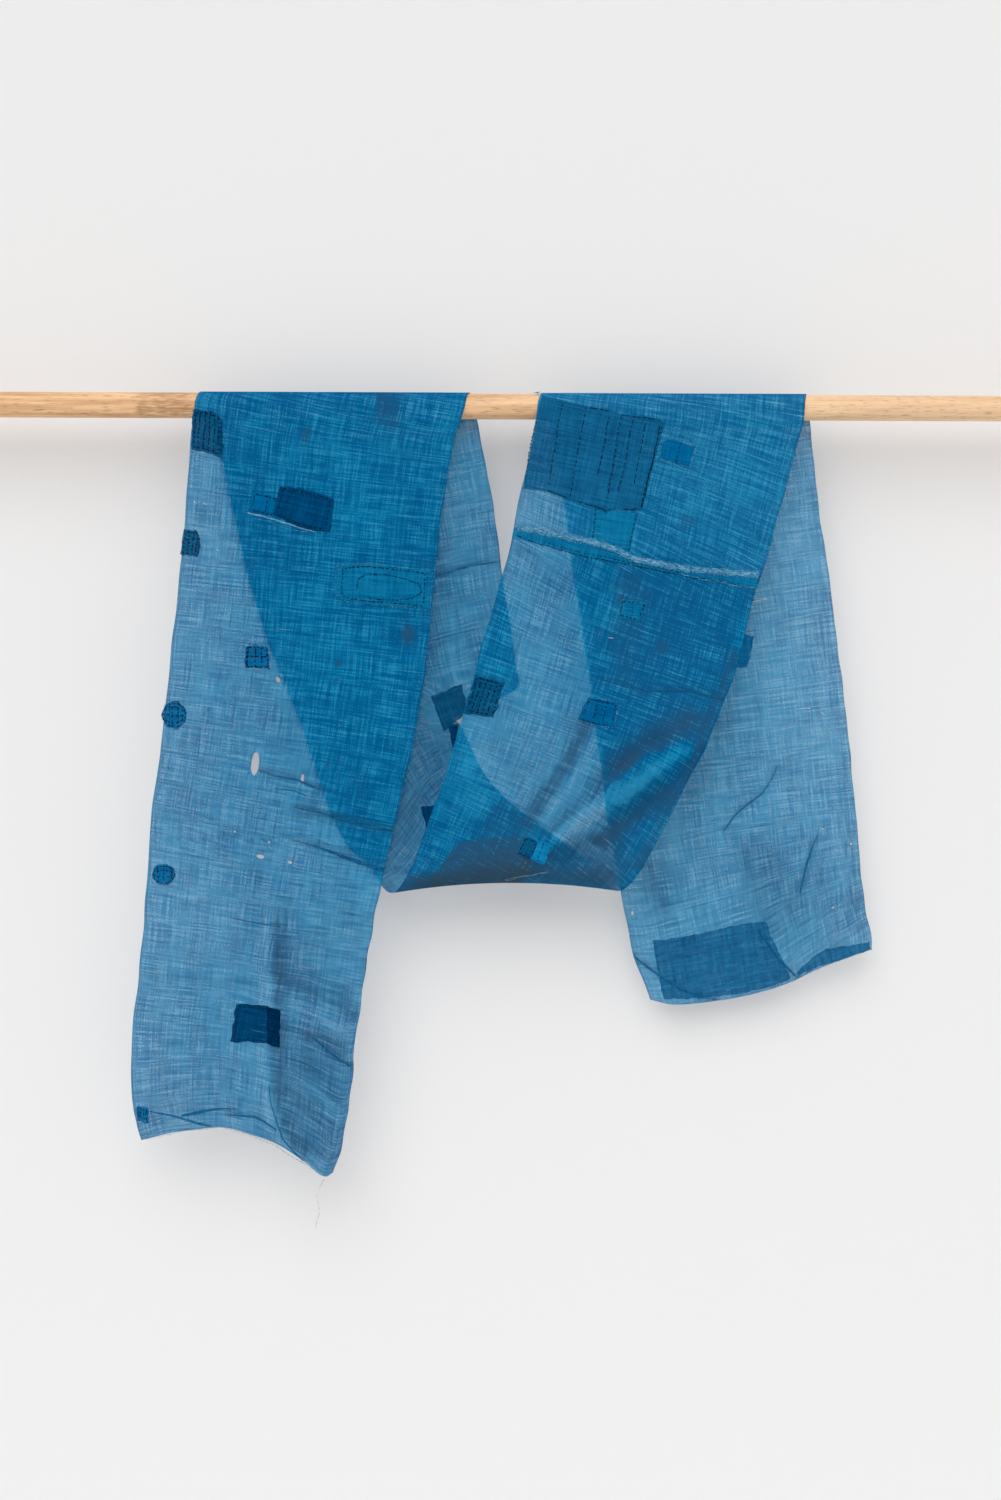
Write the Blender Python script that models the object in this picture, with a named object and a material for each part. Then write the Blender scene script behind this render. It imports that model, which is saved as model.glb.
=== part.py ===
"""Boro patched cloth thrown over a round wooden rod.

One narrow indigo cloth, sewn from two lengths, is thrown twice over the rod. From its left hem it
climbs in front of the rod, goes over it, falls behind, turns forward in a hanging loop, climbs again
as the front panel, goes over the rod a second time and falls behind as the right tail.

Metres, +Z up. The origin is on the rod's axis at mid length, X runs along the rod to the right and
Y points away from the side that is looked at. Every hang of the cloth is a short table: at each drop
below the rod's axis it gives the left edge, the right edge and the depth in Y.
"""

import math

import bmesh
import bpy
import numpy as np

# Driving sizes
MM = 0.001
ROD_DIAMETER = 0.032
ROD_LENGTH = 1.46
ROD_SIDES = 48
ROD_CHAMFER = 0.0015
CLOTH_THICKNESS = 0.0012
FACE_GAP = 0.0003
ROUNDING_GAP = 0.00005
WRAP_STEPS = 12
LOOP_RADIUS = 0.033
LOOP_CENTRE_DEPTH = -0.009
LOOP_CENTRE_DROP = 0.572
LOOP_STEPS = 12
ACROSS = 16
ROW_PITCH = 0.034
SEAM_LAP = 0.014
LAP_GAP = 0.0004
THREAD_DIAMETER = 0.0012

# Reaches of gradual changes, in millimetres
FOLDS_START = 30.0
FOLDS_FULL = 120.0
HEM_TURN = 250.0
SEAM_TURN = 200.0
LOOP_RISE = 13.0
LOOP_DIP = 5.0
LOOP_RISE_X = 18.0
LOOP_RISE_HALF = 150.0
LOOP_RISE_START = 470.0
LOOP_RISE_REACH = 110.0
TEAR_TOP = 332.0
TEAR_FOOT = 422.0

# The cloth's middle surface at the rod: its inner facets stay FACE_GAP clear of the rod
HALF_STEP = math.pi / WRAP_STEPS / 2
INNER_RADIUS = (ROD_DIAMETER / 2 + FACE_GAP) / math.cos(HALF_STEP) + ROUNDING_GAP
WRAP_RADIUS = INNER_RADIUS + CLOTH_THICKNESS / 2
LAP_STEP = CLOTH_THICKNESS + LAP_GAP

# Hangs of the cloth, in millimetres, from the rod down: drop, left edge, right edge, depth
LEFT_TAIL = (
    (0, -384, -46, 0),
    (55, -389, -62, 0),
    (181, -398, -79, -1),
    (306, -411, -91, -2),
    (432, -424, -110, -3),
    (494, -433, -125, -3),
    (557, -438, -139, -3),
    (683, -446, -164, -3),
    (808, -458, -181, -3),
    (858, -458, -185, -3),
    (900, -452, -190, -3),
    (930, -443, -198, -3),
    (966, -440, -208, -3),
)
BACK_LAYER = (
    (0, -370, -35, 0),
    (69, -352, -21, 0),
    (146, -335, -6, 1),
    (218, -318, 2, 2),
    (286, -297, 14, 3),
    (332, -279, 20, 4),
    (350, -271, 23, 4),
    (364, -266, 3, 4),
    (386, -257, -47, 5),
    (391, -255, -60, 5),
    (398, -252, -52, 5),
    (449, -236, -27, 5),
    (488, -223, 2, 6),
    (530, -204, 50, 7),
    (557, -186, 89, 7),
    (572, -165, 112, 7),
)
FRONT_PANEL = (
    (0, 44, 378, 0),
    (18, 42, 376, 0),
    (62, 34, 365, 0),
    (126, 20, 349, 0),
    (186, 9, 333, -1),
    (236, -5, 316, -2),
    (312, -27, 298, -6),
    (370, -42, 278, -10),
    (443, -63, 247, -17),
    (527, -91, 201, -23),
    (572, -108, 176, -25),
)
RIGHT_TAIL = (
    (0, 57, 386, 0),
    (118, 79, 400, 1),
    (183, 87, 410, 2),
    (306, 107, 427, 7),
    (432, 124, 443, 12),
    (557, 142, 455, 16),
    (612, 154, 461, 17),
    (682, 168, 472, 17),
    (755, 194, 474, 17),
)

# Ends that aren't level, in millimetres: place across the cloth from 0 to 1, drop
LEFT_HEM = (
    (0.0, 919),
    (0.2, 908),
    (0.4, 903),
    (0.55, 912),
    (0.7, 925),
    (0.85, 947),
    (0.97, 963),
    (1.0, 958),
)
RIGHT_HEM = (
    (0.0, 747),
    (0.1, 753),
    (0.3, 748),
    (0.56, 732),
    (0.8, 703),
    (1.0, 682),
)
SEAM = (
    (0.0, 153),
    (0.5, 184),
    (1.0, 211),
)

# Main folds: half width, height towards the viewer, then the fold's line as (x, drop) points, all mm
LEFT_TAIL_FOLDS = (
    (24, 13, ((-289, 620), (-289, 865), (-262, 935))),
    (22, -9, ((-236, 690), (-226, 880))),
    (34, 7, ((-440, 700), (-445, 880))),
    (10, -5, ((-222, 793), (-180, 832))),
    (12, -4, ((-262, 520), (-208, 530), (-140, 540))),
)
BACK_FOLDS = (
    (26, -7, ((-60, 420), (-120, 500), (-160, 545))),
    (30, 5, ((-20, 470), (30, 530))),
)
FRONT_FOLDS = (
    (15, 15, ((64, 550), (106, 508), (154, 486), (196, 453), (242, 425))),
    (16, -10, ((120, 395), (88, 452), (54, 515))),
    (16, -8, ((128, 470), (196, 425))),
    (17, -10, ((80, 582), (150, 530), (236, 462))),
)
TAIL_FOLDS = (
    (15, 9, ((298, 560), (330, 645), (368, 705))),
    (17, -8, ((330, 560), (372, 650))),
    (12, -4, ((277, 533), (346, 466))),
    (40, 5, ((170, 240), (230, 640))),
)

# A loose thread at the left tail's lower corner, in millimetres: x, drop below the hem there
LOOSE_THREAD = (
    (-216, -9),
    (-217, 2),
    (-222, 11),
    (-227, 22),
    (-225, 34),
    (-223, 46),
    (-227, 58),
    (-228, 66),
)


def clear_scene():
    """Remove the objects that the file opens with."""
    for item in list(bpy.data.objects):
        bpy.data.objects.remove(item, do_unlink=True)


def material(name, colour, roughness, metallic=0.0):
    """A plain Principled material."""
    made = bpy.data.materials.new(name)
    made.use_nodes = True
    shader = made.node_tree.nodes["Principled BSDF"]
    shader.inputs["Base Color"].default_value = (*colour, 1.0)
    shader.inputs["Roughness"].default_value = roughness
    shader.inputs["Metallic"].default_value = metallic
    made.diffuse_color = (*colour, 1.0)
    return made


def place(name, data, finish):
    """Add an object for a mesh or a curve, with its material."""
    item = bpy.data.objects.new(name, data)
    item.data.materials.append(finish)
    bpy.context.scene.collection.objects.link(item)
    return item


def smooth_step(value):
    """0 below 0, 1 above 1, and an eased ramp between."""
    share = np.clip(value, 0.0, 1.0)
    return share * share * (3.0 - 2.0 * share)


def read_table(table, column, at):
    """A column read at any place: cubic between the rows, with slopes that never overshoot."""
    rows = np.array(table, dtype=float)
    knots = rows[:, 0]
    values = rows[:, column]
    spans = np.diff(knots)
    rises = np.diff(values) / spans
    slopes = np.zeros(len(knots))
    slopes[0] = rises[0]
    slopes[-1] = rises[-1]
    same_way = rises[:-1] * rises[1:] > 0
    means = 2.0 * rises[:-1] * rises[1:] / np.where(same_way, rises[:-1] + rises[1:], 1.0)
    slopes[1:-1] = np.where(same_way, means, 0.0)
    at = np.clip(np.asarray(at, dtype=float), knots[0], knots[-1])
    cell = np.clip(np.searchsorted(knots, at, side="right") - 1, 0, len(spans) - 1)
    share = (at - knots[cell]) / spans[cell]
    start = values[cell]
    end = values[cell + 1]
    lead_in = slopes[cell] * spans[cell]
    lead_out = slopes[cell + 1] * spans[cell]
    cubed = share**3
    squared = share**2
    return (
        (2 * cubed - 3 * squared + 1) * start
        + (cubed - 2 * squared + share) * lead_in
        + (3 * squared - 2 * cubed) * end
        + (cubed - squared) * lead_out
    )


def fold_height(folds, x, drop):
    """Soft ridges and troughs: each is highest on its line and dies away to the sides and ends."""
    total = np.zeros_like(x)
    for half_width, height, line in folds:
        nearest = np.full_like(x, 1e9)
        for (x0, drop0), (x1, drop1) in zip(line, line[1:]):
            run_x = x1 - x0
            run_drop = drop1 - drop0
            along = ((x - x0) * run_x + (drop - drop0) * run_drop) / (run_x**2 + run_drop**2)
            along = np.clip(along, 0.0, 1.0)
            distance = np.hypot(x - x0 - along * run_x, drop - drop0 - along * run_drop)
            nearest = np.minimum(nearest, distance)
        total += height * np.exp(-((nearest / half_width) ** 2))
    return total


def loop_lift(x, drop):
    """How far the loop's bottom is raised, in millimetres: most a little right of its middle."""
    away = np.minimum(1.0, np.abs(x - LOOP_RISE_X) / LOOP_RISE_HALF)
    rise = LOOP_RISE * (1.0 - away**2) - LOOP_DIP
    return rise * smooth_step((drop - LOOP_RISE_START) / LOOP_RISE_REACH)


def hang(table, folds, side, across, drop, loop=False, stand_off=0.0):
    """Points of one hang, for places across (0 to 1) and drops in millimetres.

    side is -1 in front of the rod and 1 behind it, and stand_off moves the sheet towards the viewer.
    """
    across, drop = np.broadcast_arrays(across, drop)
    left = read_table(table, 1, drop)
    right = read_table(table, 2, drop)
    depth = read_table(table, 3, drop)
    x = left + across * (right - left)
    clear = smooth_step((drop - FOLDS_START) / (FOLDS_FULL - FOLDS_START))
    y = side * WRAP_RADIUS / MM + depth - fold_height(folds, x, drop) * clear - stand_off / MM
    fall = drop - (loop_lift(x, drop) if loop else 0.0)
    return np.stack([x, y, -fall], axis=-1) * MM


def level_rows(start, end):
    """Drops of the rows between two levels, in millimetres, about ROW_PITCH apart."""
    count = max(2, math.ceil(abs(end - start) * MM / ROW_PITCH) + 1)
    return np.linspace(start, end, count)


def sloped_rows(level, end_table, reach, across):
    """Row drops that turn from level, at the first, into an end's own line at the last."""
    line = read_table(end_table, 1, across)
    first = level[0]
    last = np.mean(line)
    share = (level - first) / (last - first)
    ease = smooth_step((np.abs(level - first) - (abs(last - first) - reach)) / reach)
    straight = first + share * (last - first)
    return straight[:, None] + ease[:, None] * (line - last)[None, :]


def over_rod(front_edges, back_edges, across):
    """Rows round the rod, from its front to its back, with both edges moving evenly in X."""
    turn = np.linspace(0.0, 1.0, WRAP_STEPS + 1)[1:-1, None]
    left = front_edges[0] + turn * (back_edges[0] - front_edges[0])
    right = front_edges[1] + turn * (back_edges[1] - front_edges[1])
    x = (left + across[None, :] * (right - left)) * MM
    y = np.broadcast_to(-WRAP_RADIUS * np.cos(math.pi * turn), x.shape)
    z = np.broadcast_to(WRAP_RADIUS * np.sin(math.pi * turn), x.shape)
    return np.stack([x, y, z], axis=-1)


def under_loop(across):
    """Rows round the loop's bottom, from the back layer's last row to the front panel's."""
    back = BACK_LAYER[-1]
    front = FRONT_PANEL[-1]
    turn = np.linspace(0.0, 1.0, LOOP_STEPS + 1)[1:-1, None]
    left = back[1] + turn * (front[1] - back[1])
    right = back[2] + turn * (front[2] - back[2])
    x = left + across[None, :] * (right - left)
    drop = (LOOP_CENTRE_DROP + LOOP_RADIUS * np.sin(math.pi * turn)) / MM
    drop = np.broadcast_to(drop, x.shape)
    y = np.broadcast_to((LOOP_CENTRE_DEPTH + LOOP_RADIUS * np.cos(math.pi * turn)) / MM, x.shape)
    y = y - fold_height(FRONT_FOLDS, x, drop) * turn**2
    y = y - fold_height(BACK_FOLDS, x, drop) * (1 - turn) ** 2
    return np.stack([x, y, loop_lift(x, drop) - drop], axis=-1) * MM


def sheet_mesh(name, rows):
    """One sheet of square cells from its rows of points."""
    count_rows, count_across = rows.shape[:2]
    corner = np.arange(count_rows * count_across).reshape(count_rows, count_across)
    cells = np.stack([corner[:-1, :-1], corner[1:, :-1], corner[1:, 1:], corner[:-1, 1:]], axis=-1)
    mesh = bpy.data.meshes.new(name)
    mesh.from_pydata(rows.reshape(-1, 3).tolist(), [], cells.reshape(-1, 4).tolist())
    mesh.shade_smooth()
    return mesh


def add_cloth(name, rows, finish):
    """A cloth length: its middle sheet, thickened evenly to both sides and closed at the edges."""
    item = place(name, sheet_mesh(name, rows), finish)
    thick = item.modifiers.new("Thickness", "SOLIDIFY")
    thick.thickness = CLOTH_THICKNESS
    thick.offset = 0.0
    thick.use_even_offset = True
    thick.use_rim = True
    return item


def add_long_length(finish):
    """Left tail, over the rod, back layer, loop and the front panel up to the seam."""
    across = np.linspace(0.0, 1.0, ACROSS + 1)
    hem_mean = float(np.mean(read_table(LEFT_HEM, 1, across)))
    tail_drops = sloped_rows(level_rows(0.0, hem_mean), LEFT_HEM, HEM_TURN, across)
    tail = hang(LEFT_TAIL, LEFT_TAIL_FOLDS, -1, across[None, :], tail_drops)[::-1]
    wrap = over_rod(LEFT_TAIL[0][1:3], BACK_LAYER[0][1:3], across)
    loop_top = LOOP_CENTRE_DROP / MM
    torn = [row[0] for row in BACK_LAYER if TEAR_TOP < row[0] < TEAR_FOOT]
    parts = [level_rows(0.0, TEAR_TOP), torn, level_rows(TEAR_FOOT, loop_top)]
    back_drops = np.concatenate(parts)[:, None]
    back = hang(BACK_LAYER, BACK_FOLDS, 1, across[None, :], back_drops, loop=True)
    loop = under_loop(across)
    seam_mean = float(np.mean(read_table(SEAM, 1, across)))
    front_drops = sloped_rows(level_rows(loop_top, seam_mean), SEAM, SEAM_TURN, across)
    front = hang(
        FRONT_PANEL, FRONT_FOLDS, -1, across[None, :], front_drops, loop=True, stand_off=LAP_STEP
    )
    # The lap's step towards the viewer starts above the loop, so the lowest row keeps its place
    front[0, :, 1] += LAP_STEP
    return add_cloth("cloth_long_length", np.concatenate([tail, wrap, back, loop, front]), finish)


def add_short_length(finish):
    """The front panel above the seam, over the rod, and the right tail behind."""
    across = np.linspace(0.0, 1.0, ACROSS + 1)
    lower_edge = tuple((place_across, drop + SEAM_LAP / MM) for place_across, drop in SEAM)
    edge_mean = float(np.mean(read_table(lower_edge, 1, across)))
    front_drops = sloped_rows(level_rows(0.0, edge_mean), lower_edge, SEAM_TURN, across)
    front = hang(FRONT_PANEL, FRONT_FOLDS, -1, across[None, :], front_drops)[::-1]
    wrap = over_rod(FRONT_PANEL[0][1:3], RIGHT_TAIL[0][1:3], across)
    hem_mean = float(np.mean(read_table(RIGHT_HEM, 1, across)))
    tail_drops = sloped_rows(level_rows(0.0, hem_mean), RIGHT_HEM, HEM_TURN, across)
    tail = hang(RIGHT_TAIL, TAIL_FOLDS, 1, across[None, :], tail_drops)
    return add_cloth("cloth_short_length", np.concatenate([front, wrap, tail]), finish)


def add_rod(finish):
    """A plain round rod along X with flat, lightly chamfered ends."""
    mesh = bpy.data.meshes.new("rod")
    shape = bmesh.new()
    bmesh.ops.create_cone(
        shape,
        cap_ends=True,
        segments=ROD_SIDES,
        radius1=ROD_DIAMETER / 2,
        radius2=ROD_DIAMETER / 2,
        depth=ROD_LENGTH,
    )
    rims = [edge for edge in shape.edges if abs(edge.verts[0].co.z - edge.verts[1].co.z) < 1e-6]
    bmesh.ops.bevel(shape, geom=rims, offset=ROD_CHAMFER, segments=1, affect="EDGES")
    for vert in shape.verts:
        vert.co = (vert.co.z, vert.co.y, -vert.co.x)
    bmesh.ops.recalc_face_normals(shape, faces=shape.faces)
    shape.to_mesh(mesh)
    shape.free()
    mesh.shade_smooth()
    mesh.set_sharp_from_angle(angle=math.radians(30))
    return place("rod", mesh, finish)


def add_thread(finish):
    """The loose thread: sewn to the tail's face just above the hem and hanging below it."""
    first_x, above_hem = LOOSE_THREAD[0]
    across = (first_x - LEFT_TAIL[-1][1]) / (LEFT_TAIL[-1][2] - LEFT_TAIL[-1][1])
    hem_drop = float(read_table(LEFT_HEM, 1, across))
    sewn_drop = np.array([hem_drop + above_hem])
    face = hang(LEFT_TAIL, LEFT_TAIL_FOLDS, -1, np.array([across]), sewn_drop)[0]
    depth = face[1] - CLOTH_THICKNESS / 2 - THREAD_DIAMETER / 2 - 2 * FACE_GAP
    curve = bpy.data.curves.new("loose_thread", "CURVE")
    curve.dimensions = "3D"
    curve.bevel_depth = THREAD_DIAMETER / 2
    curve.bevel_resolution = 0
    curve.use_fill_caps = True
    line = curve.splines.new("POLY")
    line.points.add(len(LOOSE_THREAD) - 1)
    for point, (x, below) in zip(line.points, LOOSE_THREAD):
        point.co = (x * MM, depth, -(hem_drop + below) * MM, 1.0)
    return place("loose_thread", curve, finish)


def build():
    """Make the whole part."""
    clear_scene()
    indigo = material("indigo_cloth", (0.02, 0.15, 0.32), 0.85)
    indigo_short = material("indigo_cloth_short", (0.03, 0.19, 0.36), 0.85)
    wood = material("pale_wood", (0.78, 0.50, 0.27), 0.5)
    thread = material("pale_thread", (0.75, 0.73, 0.68), 0.8)
    add_rod(wood)
    add_long_length(indigo)
    add_short_length(indigo_short)
    add_thread(thread)


build()
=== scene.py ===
# %% [markdown]
# # A boro cloth thrown over a rod
#
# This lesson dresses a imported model: a narrow, sheer, indigo-dyed cloth, patched and mended by hand,
# that is thrown twice over a round wooden rod. The solids give the true places and sizes. Here the
# cloth becomes two thin woven shells, with patches, stitches, frayed threads and creases.

# %% Load the frame
import math

import bpy
import numpy as np
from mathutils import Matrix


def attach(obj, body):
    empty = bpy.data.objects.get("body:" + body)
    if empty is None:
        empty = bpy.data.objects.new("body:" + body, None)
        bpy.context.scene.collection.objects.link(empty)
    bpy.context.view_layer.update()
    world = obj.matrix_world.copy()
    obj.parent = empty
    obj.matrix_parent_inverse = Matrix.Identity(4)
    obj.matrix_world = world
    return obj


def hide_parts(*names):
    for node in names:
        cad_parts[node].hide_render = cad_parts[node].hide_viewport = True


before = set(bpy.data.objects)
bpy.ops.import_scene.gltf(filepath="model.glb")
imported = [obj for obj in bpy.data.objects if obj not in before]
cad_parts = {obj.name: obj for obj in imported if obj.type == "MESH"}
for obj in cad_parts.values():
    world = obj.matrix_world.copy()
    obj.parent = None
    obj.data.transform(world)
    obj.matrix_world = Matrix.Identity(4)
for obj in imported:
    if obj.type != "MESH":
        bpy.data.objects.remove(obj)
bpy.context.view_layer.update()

# %% [markdown]
# ## The camera
#
# The picture is taken straight on, a little below the rod, from about three metres. One pixel of the
# 1001 by 1500 picture is 1.255 mm at the rod, which fixes the lens once the distance is chosen.

# %% Camera
PICTURE_HEIGHT = 1500
PIXEL = 0.001255
ROD_ROW = 406.6
CAMERA_DISTANCE = 3.2
SENSOR = 36.0
CAMERA_ROLL = math.radians(-0.23)


def add_camera():
    """A camera level with the picture's middle, whose view is the whole picture at the rod."""
    half_height = PICTURE_HEIGHT / 2 * PIXEL
    data = bpy.data.cameras.new("camera")
    data.sensor_width = SENSOR
    data.lens = SENSOR * CAMERA_DISTANCE / (2 * half_height)
    camera = bpy.data.objects.new("camera", data)
    camera.location = (0.0, -CAMERA_DISTANCE, (ROD_ROW - PICTURE_HEIGHT / 2) * PIXEL)
    camera.rotation_euler = (math.pi / 2, CAMERA_ROLL, 0.0)
    bpy.context.scene.collection.objects.link(camera)
    bpy.context.scene.camera = camera
    print("Lens", round(data.lens, 1), "mm, height", round(camera.location.z, 3))


add_camera()

# %% [markdown]
# ## The drape as short tables
#
# The cloth hangs in four stretches. Each is a table in millimetres: at each drop below the rod's axis
# it gives the left edge, the right edge and the depth, counted away from the viewer. The same tables
# made the solids, so the fine cloth lies exactly where they do.

# %% Tables of the drape
MM = 0.001
LOOM_WIDTH = 0.335
CLOTH_THICKNESS = 0.0005
WRAP_RADIUS = 17.09
LAP_STEP = 1.6
SEAM_LAP = 14.0
LOOP_RADIUS = 33.0
LOOP_CENTRE_DEPTH = -9.0
LOOP_CENTRE_DROP = 572.0

LEFT_TAIL = (
    (0, -384, -46, 0), (55, -389, -62, 0), (181, -398, -79, -1), (306, -411, -91, -2),
    (432, -424, -110, -3), (494, -433, -125, -3), (557, -438, -139, -3), (683, -446, -164, -3),
    (808, -458, -181, -3), (858, -458, -185, -3), (900, -452, -190, -3), (930, -443, -198, -3),
    (966, -440, -208, -3),
)
BACK_LAYER = (
    (0, -370, -35, 0), (69, -352, -21, 0), (146, -335, -6, 1), (218, -318, 2, 2), (286, -297, 14, 3),
    (332, -279, 20, 4), (350, -271, 23, 4), (364, -266, 3, 4), (386, -257, -47, 5), (391, -255, -60, 5),
    (398, -252, -52, 5), (449, -236, -27, 5), (488, -223, 2, 6), (530, -204, 50, 7), (557, -186, 89, 7),
    (572, -165, 112, 7),
)
FRONT_PANEL = (
    (0, 44, 378, 0), (18, 42, 376, 0), (62, 34, 365, 0), (126, 20, 349, 0), (186, 9, 333, -1),
    (236, -5, 316, -2), (312, -27, 298, -6), (370, -42, 278, -10), (443, -63, 247, -17),
    (527, -91, 201, -23), (572, -108, 176, -25),
)
RIGHT_TAIL = (
    (0, 57, 386, 0), (118, 79, 400, 1), (183, 87, 410, 2), (306, 107, 427, 7), (432, 124, 443, 12),
    (557, 142, 455, 16), (612, 154, 461, 17), (682, 168, 472, 17), (755, 194, 474, 17),
)
LEFT_HEM = (
    (0.0, 919), (0.2, 908), (0.4, 903), (0.55, 912), (0.7, 925), (0.85, 947), (0.97, 963), (1.0, 958),
)
RIGHT_HEM = (
    (0.0, 747), (0.1, 753), (0.3, 748), (0.56, 732), (0.8, 703), (1.0, 682),
)
SEAM = (
    (0.0, 153), (0.5, 184), (1.0, 211),
)
SHORT_END = tuple((place, drop + SEAM_LAP) for place, drop in SEAM)

# %% [markdown]
# ## Folds and creases
#
# A fold is a soft ridge or trough along a short line: half width, height towards the viewer, and the
# line's points as (x, drop), all in millimetres. The broad ones are also in the solids. The narrow
# creases sit only in this thin cloth. They carry a shade as well: darker where a pinched cloth is
# denser. Many rows have no height and are only paint: painted shade in valleys and where the loop
# turns under, painted highlight along ridges, and a few broad bands that are lighter and darker.

# %% Tables of folds
LEFT_TAIL_FOLDS = (
    (24, 13, ((-289, 620), (-289, 865), (-262, 935))), (22, -9, ((-236, 690), (-226, 880))),
    (34, 7, ((-440, 700), (-445, 880))), (10, -5, ((-222, 793), (-180, 832))),
    (12, -4, ((-262, 520), (-208, 530), (-140, 540))),
)
BACK_FOLDS = (
    (26, -7, ((-60, 420), (-120, 500), (-160, 545))), (30, 5, ((-20, 470), (30, 530))),
)
FRONT_FOLDS = (
    (15, 15, ((64, 550), (106, 508), (154, 486), (196, 453), (242, 425))),
    (16, -10, ((120, 395), (88, 452), (54, 515))), (16, -8, ((128, 470), (196, 425))),
    (17, -10, ((80, 582), (150, 530), (236, 462))),
)
TAIL_FOLDS = (
    (15, 9, ((298, 560), (330, 645), (368, 705))), (17, -8, ((330, 560), (372, 650))),
    (12, -4, ((277, 533), (346, 466))), (40, 5, ((170, 240), (230, 640))),
)

# half width, height, shade, line: the shade darkens where a pinch makes the cloth denser; in rows of no
# height it is painted shade, and painted highlight where negative
LEFT_TAIL_CREASES = (
    (5, -2.4, 0.3, ((-301, 458), (-278, 465), (-254, 469), (-223, 483))),
    (4, -1.2, 0.15, ((-281, 480), (-256, 483))), (4, -1.2, 0.15, ((-236, 490), (-231, 502))),
    (5, -3.2, 0.35, ((-256, 504), (-225, 510), (-171, 526), (-133, 533))),
    (4, -1.2, 0.15, ((-261, 518), (-227, 514))), (8, -3.0, 0.2, ((-227, 553), (-176, 572), (-142, 581))),
    (4, -1.4, 0.2, ((-285, 532), (-258, 544), (-227, 553))), (4, -1.0, 0.1, ((-373, 545), (-343, 538))),
    (4, -1.0, 0.1, ((-352, 558), (-332, 539))), (5, -1.2, 0.05, ((-337, 639), (-273, 650))),
    (5, -1.6, 0.05, ((-254, 683), (-168, 694))), (7, -2.5, 0.08, ((-269, 736), (-228, 752), (-186, 770))),
    (5, -2.6, 0.22, ((-237, 789), (-206, 815), (-184, 828))), (4, -1.2, 0.12, ((-235, 807), (-244, 833))),
    (5, 3.0, 0.0, ((-451, 882), (-404, 894), (-371, 903))),
    (4, -2.5, 0.1, ((-396, 886), (-348, 880), (-327, 880), (-320, 868))),
    (4, -3.0, 0.2, ((-338, 887), (-305, 889), (-275, 904))),
    (7, 5.0, 0.0, ((-287, 850), (-274, 905), (-250, 937), (-215, 962))),
    (9, -5.0, 0.0, ((-299, 900), (-278, 925), (-245, 948))), (6, 2.0, 0.0, ((-330, 700), (-322, 860))),
    (8, 2.0, 0.0, ((-400, 560), (-392, 760))), (8, -2.0, 0.0, ((-372, 600), (-366, 800))),
    (6, -1.6, 0.08, ((-130, 184), (-108, 196), (-84, 203))),
    (8, 0.0, -0.24, ((-292, 650), (-293, 800), (-292, 850), (-284, 900), (-262, 935), (-232, 955))),
    (10, 0.0, 0.3, ((-274, 650), (-275, 700), (-274, 860), (-262, 902), (-240, 930))),
    (40, 0.0, 0.05, ((-238, 690), (-230, 780))), (46, 0.0, 0.26, ((-226, 840), (-226, 915))),
    (14, -2.5, 0.16, ((-290, 690), (-262, 712), (-190, 738))),
    (9, -1.5, 0.2, ((-276, 774), (-240, 790), (-196, 803))), (16, 0.0, 0.12, ((-200, 590), (-178, 660))),
    (9, 0.0, -0.24, ((-262, 745), (-225, 764), (-190, 782))),
    (7, -1.5, 0.16, ((-266, 858), (-238, 878), (-218, 905))),
    (6, -1.0, 0.14, ((-252, 818), (-224, 842), (-200, 868))),
    (7, 0.0, -0.16, ((-256, 838), (-228, 860), (-205, 885))), (14, 0.0, -0.12, ((-372, 70), (-362, 125))),
    (12, 0.0, -0.1, ((-356, 160), (-352, 200))), (16, 0.0, -0.06, ((-352, 560), (-344, 700))),
    (20, 0.0, 0.05, ((-306, 520), (-300, 620))), (9, 0.0, 0.06, ((-258, 380), (-262, 440))),
    (6, 2.0, 0.1, ((-440, 708), (-370, 716), (-300, 722))),
    (7, 0.0, 0.22, ((-290, 702), (-262, 723), (-182, 758))), (30, 0.0, -0.05, ((-400, 640), (-330, 640))),
    (8, 0.0, -0.1, ((-286, 610), (-289, 740))), (7, 0.0, 0.12, ((-278, 640), (-276, 690))),
)
BACK_CREASES = (
    (5, -2.5, 0.3, ((-90, 213), (-40, 199), (0, 192))), (6, -2.0, 0.06, ((-90, 300), (5, 268))),
    (40, 0.0, -0.2, ((-140, 30), (-80, 120))), (34, 0.0, 0.14, ((-60, 440), (-110, 520))),
    (30, 0.0, -0.08, ((-50, 110), (-30, 170))),
)
FRONT_CREASES = (
    (5, -2.2, 0.12, ((127, 343), (182, 357), (239, 357), (277, 368))),
    (7, -2.5, 0.1, ((60, 510), (98, 462))), (5, 2.5, 0.0, ((150, 560), (200, 505), (225, 470))),
    (20, 0.0, 0.58, ((-90, 606), (-40, 592), (0, 586), (60, 586), (130, 598))),
    (13, 0.0, 0.34, ((160, 446), (114, 484), (86, 512), (64, 536))),
    (6, 0.0, -0.12, ((66, 550), (100, 520), (124, 502))),
    (9, 0.0, -0.75, ((146, 488), (171, 473), (198, 449), (226, 430))),
    (13, 0.0, 0.5, ((128, 541), (150, 523), (205, 484))),
    (18, 0.0, 0.46, ((150, 446), (190, 418), (235, 395))),
    (10, 0.0, 0.4, ((108, 394), (83, 450), (45, 500), (36, 524))),
    (6, 0.0, -0.24, ((119, 419), (89, 469), (60, 514))),
    (7, 0.0, 0.34, ((291, 312), (271, 370), (240, 443), (194, 527), (168, 572))),
    (3, 0.0, -0.2, ((303, 260), (296, 312), (276, 370), (246, 443))),
    (26, 0.0, -0.45, ((-40, 440), (-34, 485))), (10, 0.0, 0.22, ((112, 545), (70, 560), (40, 576))),
)
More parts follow.
